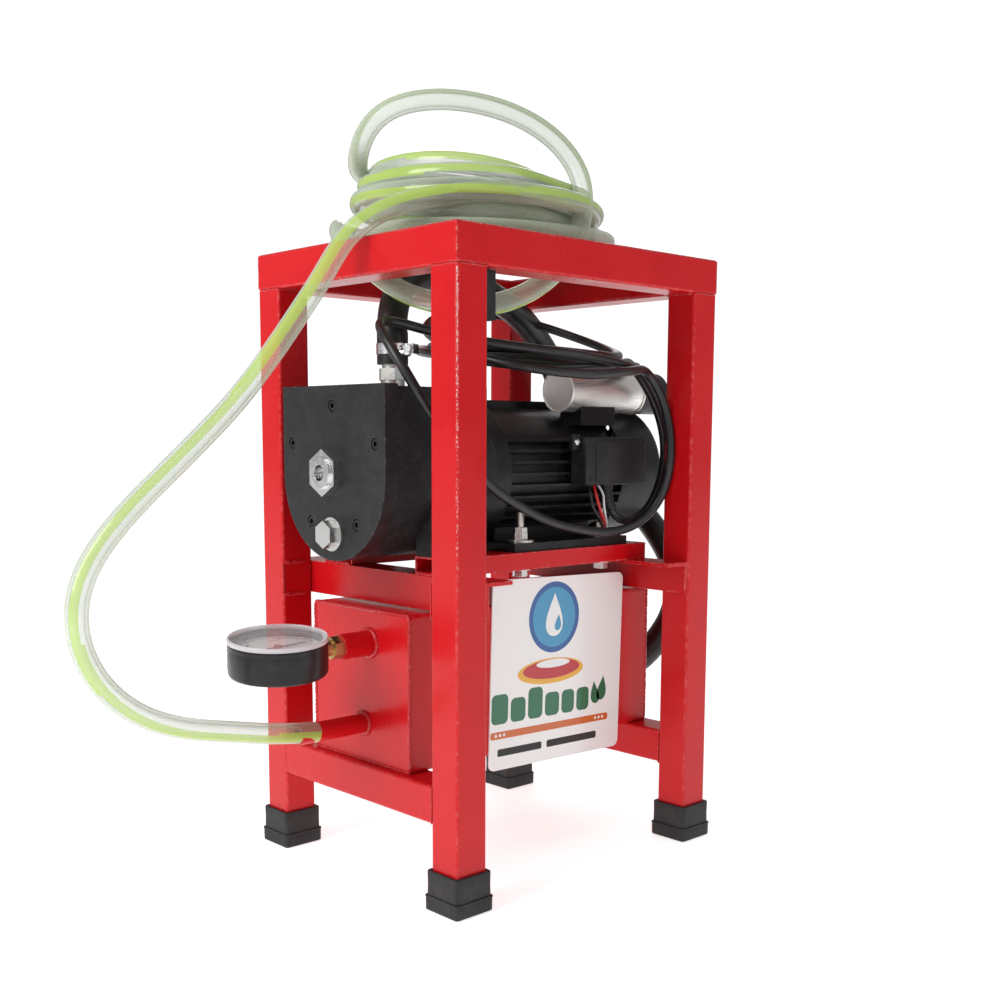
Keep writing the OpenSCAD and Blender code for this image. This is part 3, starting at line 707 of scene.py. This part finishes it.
def make_cord():
    path = cord_path()
    sheath = tube("mains_lead", path, CORD_D / 2, MAT["cord"], 16)
    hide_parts("mains_cord", "cord_coil")
    plug = make_plug()
    tuple(path[0])
    round(path_length(path), 2)
    [tuple(p) for p in path]


def make_plug():
    """Moulded plug with three pins and a ribbed strain relief."""
    low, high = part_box("cord_plug")
    middle = (Vector(low) + Vector(high)) / 2
    top = high[2]
    body = rounded_box("plug_body", (low[0], low[1], low[2] + 0.020), (high[0], high[1], top - 0.009), 0.005,
            MAT["cord"])
    relief = lathe("plug_relief", [
        (0.0, top - 0.010), (0.011, top - 0.010), (0.0105, top - 0.008), (0.009, top - 0.006), (0.0095, top - 0.004),
        (0.0078, top - 0.003), (0.0082, top - 0.001), (0.0066, top), (0.0, top)],
        (middle.x, middle.y, 0.0), (0, 0, 1), MAT["cord"], 32)
    pieces = [body, relief]
    for n, (dx, dy, r) in enumerate(((-0.010, 0.003, 0.0025), (0.010, 0.003, 0.0025), (0.0, -0.006, 0.003))):
        z = low[2]
        pieces.append(lathe("plug_pin_%d" % n, [
            (0.0, z), (r * 0.7, z), (r, z + 0.001), (r, z + 0.021), (0.0, z + 0.021)],
            (middle.x + dx, middle.y + dy, 0.0), (0, 0, 1), MAT["brass"], 24))
    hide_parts("cord_plug")
    return pieces


make_hose()
make_cord()


# ---- materials on the CAD nodes ----

NODE_MATERIALS = {
    "red": ["top_beam_front", "top_beam_rear", "top_beam_left", "top_beam_right", "leg_front_left",
        "leg_front_right", "leg_rear_left", "leg_rear_right", "low_beam_left", "low_beam_right",
        "shelf_angle_left", "shelf_angle_right", "rail_front", "rail_rear", "vacuum_tank", "gauge_stub",
        "hose_nipple", "suction_stub"],
    "rubber": ["foot_caps"],
    "plate": ["name_plate"],
    "brass": ["gauge_adapter"],
    "gloss_black": ["gauge_case"],
    "dial": ["gauge_dial"],
    "needle": ["gauge_needle"],
    "glass": ["gauge_lens"],
    "iron": ["pump_cover", "pump_rear_cover"],
    "rough_iron": ["pump_body"],
    "steel": ["pump_rotor", "motor_rotor", "motor_bearings"],
    "vane": ["pump_vanes"],
    "screw": ["cover_screws"],
    "chrome": ["exhaust_fitting"],
    "zinc": ["oil_plug", "inlet_nipple", "base_bolts", "base_washers"],
    "clamp": ["hose_clamps"],
    "suction": ["suction_hose"],
    "motor": ["motor_body", "motor_front_bell", "motor_rear_bell", "fan_cowl", "motor_base"],
    "copper": ["motor_stator"],
    "plastic": ["motor_fan", "terminal_box", "terminal_cover", "capacitor_cap", "switch_box", "switch_rocker",
        "cord_gland"],
    "can": ["capacitor_can"],
    "cord": ["mains_cord", "cord_coil", "cord_plug"],
    "vinyl": ["vacuum_hose", "hose_coil"],
}


def paint_nodes():
    for key, names in NODE_MATERIALS.items():
        for name in names:
            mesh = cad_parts[name].data
            if not mesh.materials:
                mesh.materials.append(MAT[key])
            for i in range(len(mesh.materials)):
                mesh.materials[i] = MAT[key]


paint_nodes()


# ---- suction hose ----

def make_suction():
    path = laid(SUCTION_ROUTE, 0.006, 3)
    hose = tube("suction_tube", path, SUCTION_D / 2, MAT["suction"], 32)
    cuff = SUCTION_D / 2 + 0.0005
    for name, hole, low, high, end, start, axis in (
            ("suction_cuff_top", 0.011, 0.530, 0.562, 0.566, (-0.135, 0.0, 0.0), (0, 0, 1)),
            ("suction_cuff_side", 0.0125, 0.190, 0.212, 0.215, (0.0, -0.030, 0.180), (1, 0, 0))):
        profile = [(hole, low), (cuff, low), (cuff, high), (cuff - 0.0012, end), (hole, end)]
        lathe(name, profile, at(start), axis, MAT["suction"], 40)
    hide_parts("suction_hose")


make_suction()


# ---- rubber feet ----

def square_ring(half, radius, ripple=0.0):
    """A rounded square outline. Every third point of its sides stands out by ripple."""
    pts = []
    flat = half - radius
    for side in range(4):
        local = [(half + (ripple if k % 3 == 1 else 0.0), -flat + 2 * flat * k / 30) for k in range(30)]
        local += [(flat + radius * cos(a), flat + radius * sin(a))
                for a in (pi / 2 * k / 5 for k in range(5))]
        c, s = cos(pi / 2 * side), sin(pi / 2 * side)
        pts += [(x * c - y * s, x * s + y * c) for x, y in local]
    return pts


def make_feet():
    """Ribbed foot, plain collar with a rolled lip, and a pocket round the tube."""
    rows = [(0.0, 0.0226, 0.003, 0.0), (0.0008, 0.0238, 0.0035, 0.0), (0.0018, 0.0239, 0.0035, 0.0006),
            (0.0122, 0.024, 0.0035, 0.0006), (0.013, 0.024, 0.0035, 0.0), (0.0136, 0.0245, 0.004, 0.0),
            (0.0148, 0.0245, 0.004, 0.0), (0.0153, 0.0241, 0.004, 0.0), (0.0155, 0.0229, 0.004, 0.0),
            (0.027, 0.0227, 0.004, 0.0), (0.0385, 0.0229, 0.004, 0.0), (0.0396, 0.0226, 0.004, 0.0),
            (0.04, 0.022, 0.0038, 0.0), (0.0398, 0.0196, 0.003, 0.0), (0.033, 0.0192, 0.003, 0.0)]
    verts, faces = [], []
    for sx in (-1, 1):
        for sy in (-1, 1):
            first = len(verts)
            count = len(square_ring(0.02, 0.003))
            for z, half, radius, ripple in rows:
                verts += [at((sx * LEG_X + x, sy * LEG_Y + y, z)) for x, y in square_ring(half, radius, ripple)]
            for i in range(len(rows) - 1):
                for k in range(count):
                    j = (k + 1) % count
                    a, b = first + i * count, first + (i + 1) * count
                    faces.append((a + k, a + j, b + j, b + k))
            faces.append(tuple(first + k for k in reversed(range(count))))
            last = first + (len(rows) - 1) * count
            faces.append(tuple(last + k for k in range(count)))
    feet = new_object("rubber_feet", verts, faces, MAT["rubber"])
    finish_mesh(feet, 35)
    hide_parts("foot_caps")


make_feet()


# ---- welds and chipped paint ----

def ring_points(middle, radius, count=24):
    """A circle round a pipe that runs along x."""
    return [at((middle[0], middle[1] + radius * cos(radians(360 * k / count)),
            middle[2] + radius * sin(radians(360 * k / count)))) for k in range(count + 1)]


def line(name, a, b, radius, seed):
    """A straight bead between two points measured from the stand's middle."""
    a, b = at(a), at(b)
    weld(name, [a, a.lerp(b, 0.33), a.lerp(b, 0.67), b], radius, seed)


def make_welds():
    seed = 1
    for sx, tag in ((-1, "left"), (1, "right")):
        x = sx * TANK_X
        corners = [(-TANK_Y, TANK_LOW), (TANK_Y, TANK_LOW), (TANK_Y, TANK_TOP), (-TANK_Y, TANK_TOP)]
        for i in range(4):
            (y0, z0), (y1, z1) = corners[i], corners[(i + 1) % 4]
            seed += 1
            line("tank_%s_seam_%d" % (tag, i), (x * 0.996, y0 * 0.985, z0 + (0.001 if z0 == TANK_LOW else -0.001)),
                 (x * 0.996, y1 * 0.985, z1 + (0.001 if z1 == TANK_LOW else -0.001)), 0.0021, seed)
        for sy, end in ((-1, "front"), (1, "rear")):
            y = sy * OPEN_Y
            outer, inner = sx * (LEG_X + TUBE / 2), sx * (LEG_X - TUBE / 2)
            for low, high, level in ((LOW_BEAM, LOW_BEAM + TUBE, "low"), (SHELF - ANGLE, SHELF, "shelf")):
                seed += 3
                wide = inner if level == "low" else sx * (LEG_X - 0.010)
                name = "%s_%s_%s_" % (level, tag, end)
                line(name + "top_bead", (outer * 0.985, y, high), (wide, y, high), 0.0022, seed)
                line(name + "low_bead", (outer * 0.985, y, low), (wide, y, low), 0.0019, seed + 1)
                line(name + "side_bead", (outer * FLUSH, y, low), (outer * FLUSH, y, high), 0.0009, seed + 2)
            seed += 3
            leg_out, leg_in = sy * (LEG_Y + TUBE / 2), sy * (LEG_Y - TUBE / 2)
            name = "top_%s_%s_" % (tag, end)
            line(name + "face_bead", (outer * 0.98, leg_out * FLUSH, BEAM_LOW), (inner, leg_out * FLUSH, BEAM_LOW),
                 0.0009, seed)
            line(name + "side_bead", (outer * FLUSH, leg_out * 0.98, BEAM_LOW), (outer * FLUSH, leg_in, BEAM_LOW),
                 0.0009, seed + 1)
            line(name + "inner_bead", (inner, leg_out * 0.98, BEAM_LOW), (inner, leg_in, BEAM_LOW), 0.0022, seed + 2)
            line(name + "back_bead", (outer * 0.98, leg_in, BEAM_LOW), (inner, leg_in, BEAM_LOW), 0.0022, seed + 3)
            seed += 3
            rail = sy * 0.077
            line("rail_%s_%s_bead" % (tag, end), (sx * 0.1505, rail - 0.022, SHELF + 0.001),
                 (sx * 0.1505, rail + 0.022, SHELF + 0.001), 0.0026, seed)
    for name, middle, radius in (("gauge_stub_bead", (-0.1805, -0.015, 0.248), 0.0138),
            ("nipple_bead", (-0.1805, -0.005, 0.163), 0.0108),
            ("suction_stub_bead", (0.1805, -0.030, 0.180), 0.0132)):
        seed += 1
        weld(name, ring_points(middle, radius), 0.0026, seed)


def chips(name, place, length, count, seed):
    """Bare flakes on a rounded edge. place(t, turn) gives a point t along it, at an angle round it in degrees."""
    rng = random.Random(seed)
    verts, faces = [], []
    for _ in range(count):
        t = rng.random() ** 0.5
        turn = 45 + rng.gauss(0, 9)
        half = rng.uniform(0.0002, 0.001) / length
        wide = rng.uniform(3, 8)
        first = len(verts)
        for k in range(7):
            a = 2 * pi * k / 7
            size = rng.uniform(0.6, 1.1)
            verts.append(place(t + half * size * cos(a), turn + wide * size * sin(a)))
        faces.append(tuple(range(first, first + 7)))
    obj = new_object(name, verts, faces, MAT["chip"])
    thick = obj.modifiers.new("thick", "SOLIDIFY")
    thick.thickness = 0.00005
    thick.offset = 0.0


def make_chips():
    r = EDGE_R + CHIP_SKIN

    def upright(sx, sy):
        def place(t, turn):
            a = radians(turn)
            return at((sx * (LEG_X + TUBE / 2 - EDGE_R + r * cos(a)),
                    sy * (LEG_Y + TUBE / 2 - EDGE_R + r * sin(a)), 0.30 + t * 0.31))
        return place

    def along_x(sy, start, run):
        def place(t, turn):
            a = radians(turn)
            return at((start + t * run, sy * (LEG_Y + TUBE / 2 - EDGE_R + r * cos(a)),
                    FRAME_H - EDGE_R + r * sin(a)))
        return place

    chips("chips_front_left", upright(-1, -1), 0.31, 330, 5)
    chips("chips_front_right", upright(1, -1), 0.31, 60, 6)
    chips("chips_rear_left", upright(-1, 1), 0.31, 70, 7)
    chips("chips_rear_right", upright(1, 1), 0.31, 60, 8)
    chips("chips_top_front", along_x(-1, 0.187, -0.372), 0.372, 90, 9)
    chips("chips_top_rear", along_x(1, -0.187, 0.372), 0.372, 60, 10)


make_welds()
make_chips()


# ---- vacuum gauge ----

GAUGE_TURN = Matrix.Rotation(-radians(3.1), 4, "Y") @ Matrix.Rotation(radians(4.6), 4, "X")


def on_gauge(x, y, z):
    """A point measured from the middle of the gauge's top face."""
    return at(GAUGE_TOP) + (GAUGE_TURN @ Vector((x, y, z)))


def prism(name, outlines, low, high, place, mat):
    """Flat raised shapes. place(u, v, h) puts a point of an outline into the part's frame."""
    verts, faces = [], []
    for outline in outlines:
        first, n = len(verts), len(outline)
        verts += [place(u, v, low) for u, v in outline] + [place(u, v, high) for u, v in outline]
        faces.append(tuple(first + k for k in reversed(range(n))))
        faces.append(tuple(first + n + k for k in range(n)))
        faces += [(first + k, first + (k + 1) % n, first + n + (k + 1) % n, first + n + k) for k in range(n)]
    obj = new_object(name, verts, faces, mat, smooth=False)
    finish_mesh(obj, 30)
    return obj


def dial_arc(inner, outer, start, end):
    """An arc's outline on the dial, from one angle in degrees to another."""
    n = max(1, int(abs(end - start) / 4))
    a = [radians(start + (end - start) * k / n) for k in range(n + 1)]
    return ([(outer * cos(t), outer * sin(t)) for t in a]
            + [(inner * cos(t), inner * sin(t)) for t in reversed(a)])


def make_gauge():
    axis = GAUGE_TURN @ Vector((0, 0, 1))
    top = at(GAUGE_TOP)
    case = lathe("gauge_shell", [(0.0, -0.0345), (0.0452, -0.0345), (0.0452, -0.004), (0.0476, -0.0036),
            (0.048, -0.0044), (0.048, -0.008), (0.0478, -0.0088), (0.048, -0.0096),
            (0.048, -0.033), (0.0474, -0.0352), (0.046, -0.0368), (0.0438, -0.0375),
            (0.02, -0.0375), (0.019, -0.037), (0.0, -0.037)], top, axis, MAT["gloss_black"], 96)
    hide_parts("gauge_case")
    rim = lathe("gauge_rim", [(0.0455, -0.004), (0.0483, -0.0038), (0.0485, -0.003), (0.0485, -0.001), (0.0481, 0.0),
            (0.0474, 0.0006), (0.0464, 0.0006), (0.0458, 0.0), (0.0455, -0.0012), (0.0455, -0.004)],
            top, axis, MAT["rim"], 96)
    ticks = [dial_arc(0.034 if n % 5 == 0 else 0.037, 0.04, a - (0.9 if n % 5 == 0 else 0.45),
            a + (0.9 if n % 5 == 0 else 0.45)) for n, a in ((n, n * 5.4) for n in range(51))]
    for name, outlines, mat, slot in (
            ("dial_ticks", ticks, "ink", "needle_black"),
            ("dial_scale", [dial_arc(0.0405, 0.0412, 0, 270)], "ink", "needle_black"),
            ("dial_green", [dial_arc(0.03, 0.0325, 120, 190)], "print_green", "dial_white"),
            ("dial_red", [dial_arc(0.03, 0.0325, 215, 270)], "print_red", "dial_white")):
        prism(name, outlines, DIAL_FACE, DIAL_FACE + 0.00012, on_gauge, MAT[mat])

    def on_side(u, v, h):
        a = u / GAUGE_R
        return on_gauge((GAUGE_R + h) * cos(a), (GAUGE_R + h) * sin(a), v)

    middle = GAUGE_R * radians(LABEL_TURN)
    half = 0.0105
    edge = [(middle - half + 2 * half * k / 12, -0.031) for k in range(13)]
    edge += [(middle + half - 2 * half * k / 12, -0.012) for k in range(13)]
    prism("gauge_label", [edge], -0.0002, 0.0002, on_side, MAT["label"])
    bars = []
    for v, a, b in ((-0.0155, -0.7, 0.6), (-0.0185, -0.7, 0.2), (-0.0215, -0.7, 0.7), (-0.0272, -0.7, 0.7)):
        tall = 0.0007 if v > -0.025 else 0.0022
        us = [middle + half * (a + (b - a) * k / 8) for k in range(9)]
        bars.append([(u, v - tall) for u in us] + [(u, v + tall) for u in reversed(us)])
    prism("gauge_label_bars", bars, 0.0001, 0.00026, on_side, MAT["ink"])


make_gauge()


# ---- name plate's print ----

def on_plate(u, v, h):
    """A point measured from the plate's middle, along its turned sides."""
    t = radians(PLATE_TURN)
    return at((PLATE_AT[0] + u * cos(t) + v * sin(t), PLATE_FACE - h,
            PLATE_AT[1] - u * sin(t) + v * cos(t)))


def oval(u, v, wide, tall, count=48):
    return [(u + wide * cos(2 * pi * k / count), v + tall * sin(2 * pi * k / count))
            for k in range(count)]


def pill(left, right, low, high, radius):
    """A rectangle with round corners."""
    pts = []
    for cu, cv, start in ((right - radius, high - radius, 0), (left + radius, high - radius, 90),
            (left + radius, low + radius, 180), (right - radius, low + radius, 270)):
        pts += [(cu + radius * cos(radians(start + 15 * k)),
            cv + radius * sin(radians(start + 15 * k))) for k in range(7)]
    return pts


def drop(u, v, size, lean=0.0):
    """A pointed drop, size high."""
    pts = []
    for k in range(40):
        a = 2 * pi * k / 40
        y = -cos(a)
        x = 0.62 * sin(a) * ((1 - y) / 2) ** 0.75
        pts.append((u + size / 2 * (x * 1.25 + lean * y), v + size / 2 * y))
    return pts


def make_print():
    layers = [
        ("print_disc", "print_blue", 0.0001, [oval(-0.009, 0.057, 0.039, 0.039)]),
        ("print_disc_ring", "print_sky", 0.00014, [oval(-0.009, 0.057, 0.033, 0.033)]),
        ("print_drop", "print_white", 0.00018, [drop(-0.009, 0.060, 0.048)]),
        ("print_drop_shade", "print_sky", 0.00022, [drop(-0.003, 0.051, 0.018, 0.1)]),
        ("print_oval", "print_yellow", 0.0001, [oval(-0.012, -0.002, 0.051, 0.014)]),
        ("print_oval_inner", "print_red", 0.00014, [oval(-0.011, 0.0, 0.044, 0.0105)]),
        ("print_oval_light", "print_white", 0.00018, [oval(-0.009, 0.006, 0.026, 0.0045)]),
        ("print_blocks", "print_green", 0.0001, [pill(a, b, -0.052, c, 0.006) for a, b, c in (
            (-0.100, -0.076, -0.020), (-0.072, -0.050, -0.026), (-0.046, -0.024, -0.018), (-0.020, 0.002, -0.026),
            (0.006, 0.026, -0.026), (0.030, 0.050, -0.026))]),
        ("print_leaves", "print_green", 0.0001, [drop(0.060, -0.034, 0.026, -0.15), drop(0.072, -0.030, 0.028, 0.15)]),
        ("print_band", "print_orange", 0.0001, [pill(-0.101, 0.083, -0.068, -0.060, 0.003)]),
        ("print_dots", "print_white", 0.00014, [oval(u, -0.064, 0.0017, 0.0017, 20) for u in (
            -0.093, -0.087, -0.081, 0.062, 0.068, 0.074)]),
        ("print_bars", "ink", 0.0001, [pill(-0.090, -0.024, -0.087, -0.079, 0.002),
            pill(-0.016, 0.064, -0.087, -0.079, 0.002)]),
    ]
    for name, mat, top, outlines in layers:
        prism(name, outlines, -0.0001, top, on_plate, MAT[mat])


make_print()


# ---- electrics ----

def make_electrics():
    lid = rounded_box("terminal_lid", at((0.046, -0.105, 0.405)), at((0.145, -0.0962, 0.457)), 0.0024, MAT["plastic"])
    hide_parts("terminal_cover")
    panel = rounded_box("terminal_panel", at((0.060, -0.1064, 0.409)), at((0.141, -0.104, 0.453)), 0.0011,
            MAT["plastic"])
    ear = rounded_box("terminal_ear", at((0.036, -0.0945, 0.443)), at((0.0475, -0.088, 0.460)), 0.0018, MAT["plastic"])
    head = lathe("terminal_screw", [
        (0.0, 0.0006), (0.0012, 0.0008), (0.0016, 0.0026), (0.003, 0.0022), (0.0039, 0.001), (0.004, 0.0),
        (0.0, 0.0)], at((0.0415, -0.0944, 0.4515)), (0, -1, 0), MAT["chrome"], 32)
    for n, (x, z) in enumerate(((0.052, 0.411), (0.139, 0.451))):
        lathe("lid_screw_%d" % n, [(0.0, 0.0004), (0.001, 0.0005), (0.0013, 0.0014), (0.0024, 0.0011),
                (0.003, 0.0), (0.0, 0.0)], at((x, -0.105, z)), (0, -1, 0), MAT["screw"], 28)
    wires = (
        ("earth_wire_black", "cord", 0.0017, [
            (0.066, -0.090, 0.4058), (0.063, -0.095, 0.394), (0.065, -0.098, 0.380), (0.077, -0.0965, 0.367),
            (0.0885, -0.0905, 0.358), (0.0925, -0.087, 0.3545)]),
        ("earth_wire_red", "red_wire", 0.0017, [
            (0.073, -0.090, 0.4058), (0.072, -0.096, 0.392), (0.0765, -0.0975, 0.378), (0.0855, -0.094, 0.366),
            (0.0925, -0.0895, 0.358), (0.095, -0.086, 0.355)]),
        ("earth_wire_white", "white_wire", 0.0013, [
            (0.080, -0.090, 0.4058), (0.083, -0.096, 0.394), (0.0815, -0.0985, 0.382), (0.088, -0.0955, 0.370),
            (0.096, -0.0905, 0.359), (0.0975, -0.086, 0.355)]))
    for name, mat, radius, points in wires:
        path = laid(points, 0.002, 3)
        tube(name, path, radius, MAT[mat], 12)
    tube("red_wire_sleeve", laid((
        (0.08, -0.0965, 0.373), (0.0855, -0.094, 0.366), (0.0905, -0.091, 0.3605)), 0.002, 2), 0.0024,
        MAT["red_wire"], 14)
    boot = laid(((0.096, -0.088, 0.405), (0.096, -0.088, 0.397), (0.097, -0.090, 0.386),
            (0.102, -0.092, 0.3775)), 0.001, 4)
    ribs = len(boot)
    tube("cord_boot", boot, 0.0056, MAT["plastic"], 24,
            wobble=lambda i, k: 1.35 - 0.30 * i / ribs + (0.07 if i % 4 < 2 else 0.0))
    for tag, x, r in (("front", 0.06, 0.0234), ("cap", 0.1795, 0.024)):
        lathe("can_crimp_" + tag, [(r - 0.0012, -0.0008), (r + 0.0002, -0.0012), (r + 0.001, -0.0004),
                (r + 0.001, 0.0008), (r + 0.0001, 0.0018), (r - 0.0012, 0.0018),
                (r - 0.0012, -0.0008)], at((x, -0.048, 0.508)), (1, 0, 0), MAT["can"], 72)
    clamp_screw("clamp_screw_top", (-0.1335, -0.0195, 0.5415), (0.45, -0.89, 0.0))
    clamp_screw("clamp_screw_side", (0.2, -0.0495, 0.181), (0.0, -0.6, 0.8))


def clamp_screw(name, place, axis):
    """The worm screw's hexagonal head, its collar and a dome with a round dip in its middle."""
    axis = Vector(axis).normalized()
    start = at(place)
    body = lathe(name + "_worm", [(0.0, -0.010), (0.0036, -0.010), (0.0042, -0.009), (0.0042, 0.0), (0.0034, 0.0006),
            (0.0, 0.0006)], start, axis, MAT["clamp"], 32)
    head = hex_piece(name + "_head", 0.0072, 0.0004, 0.0046, start, axis, MAT["clamp"])
    dome = lathe(name + "_slot", [(0.0, 0.0046), (0.0006, 0.0046), (0.001, 0.0054), (0.0024, 0.0051), (0.0029, 0.0046),
            (0.0029, 0.004), (0.0, 0.004)], start, axis, MAT["clamp"], 28)


make_electrics()


# ---- floor and light ----

def make_stage():
    s = Shader("studio_floor", (0.90, 0.90, 0.90), 0.6)
    s.put("Emission Color", (1.0, 1.0, 1.0, 1.0))
    s.put("Emission Strength", 0.66)
    s.put("Specular IOR Level", 0.1)
    s.bump(s.noise(8.0), 0.01, 0.001)
    floor = new_object("floor", [(-6, -6, 0), (6, -6, 0), (6, 6, 0), (-6, 6, 0)], [(0, 1, 2, 3)], s.mat)
    floor.location.z = -0.0005
    world = bpy.data.worlds.new("studio")
    world.use_nodes = True
    background = world.node_tree.nodes["Background"]
    background.inputs[0].default_value = (1.0, 1.0, 1.0, 1.0)
    rays = world.node_tree.nodes.new("ShaderNodeLightPath")
    level = world.node_tree.nodes.new("ShaderNodeMapRange")
    level.inputs["To Min"].default_value = 0.42
    level.inputs["To Max"].default_value = 1.1
    world.node_tree.links.new(rays.outputs["Is Camera Ray"], level.inputs["Value"])
    world.node_tree.links.new(level.outputs["Result"], background.inputs[1])
    bpy.context.scene.world = world
    bpy.context.scene.view_settings.view_transform = "Standard"


def area_light(name, place, target, size, power):
    data = bpy.data.lights.new(name, "AREA")
    data.shape = "RECTANGLE"
    data.size = size[0]
    data.size_y = size[1]
    data.energy = power
    obj = bpy.data.objects.new(name, data)
    obj.location = place
    obj.rotation_euler = (Vector(target) - Vector(place)).to_track_quat("-Z", "Y").to_euler()
    bpy.context.scene.collection.objects.link(obj)


make_stage()
area_light("key", (-1.9, 0.1, 1.5), (0.0, 0.0, 0.4), (1.0, 1.4), 30)
area_light("fill", (0.3, -2.3, 1.3), (0.0, 0.0, 0.35), (1.4, 1.4), 6)
area_light("back", (1.6, 1.6, 1.8), (0.0, 0.0, 0.5), (1.2, 1.2), 10)
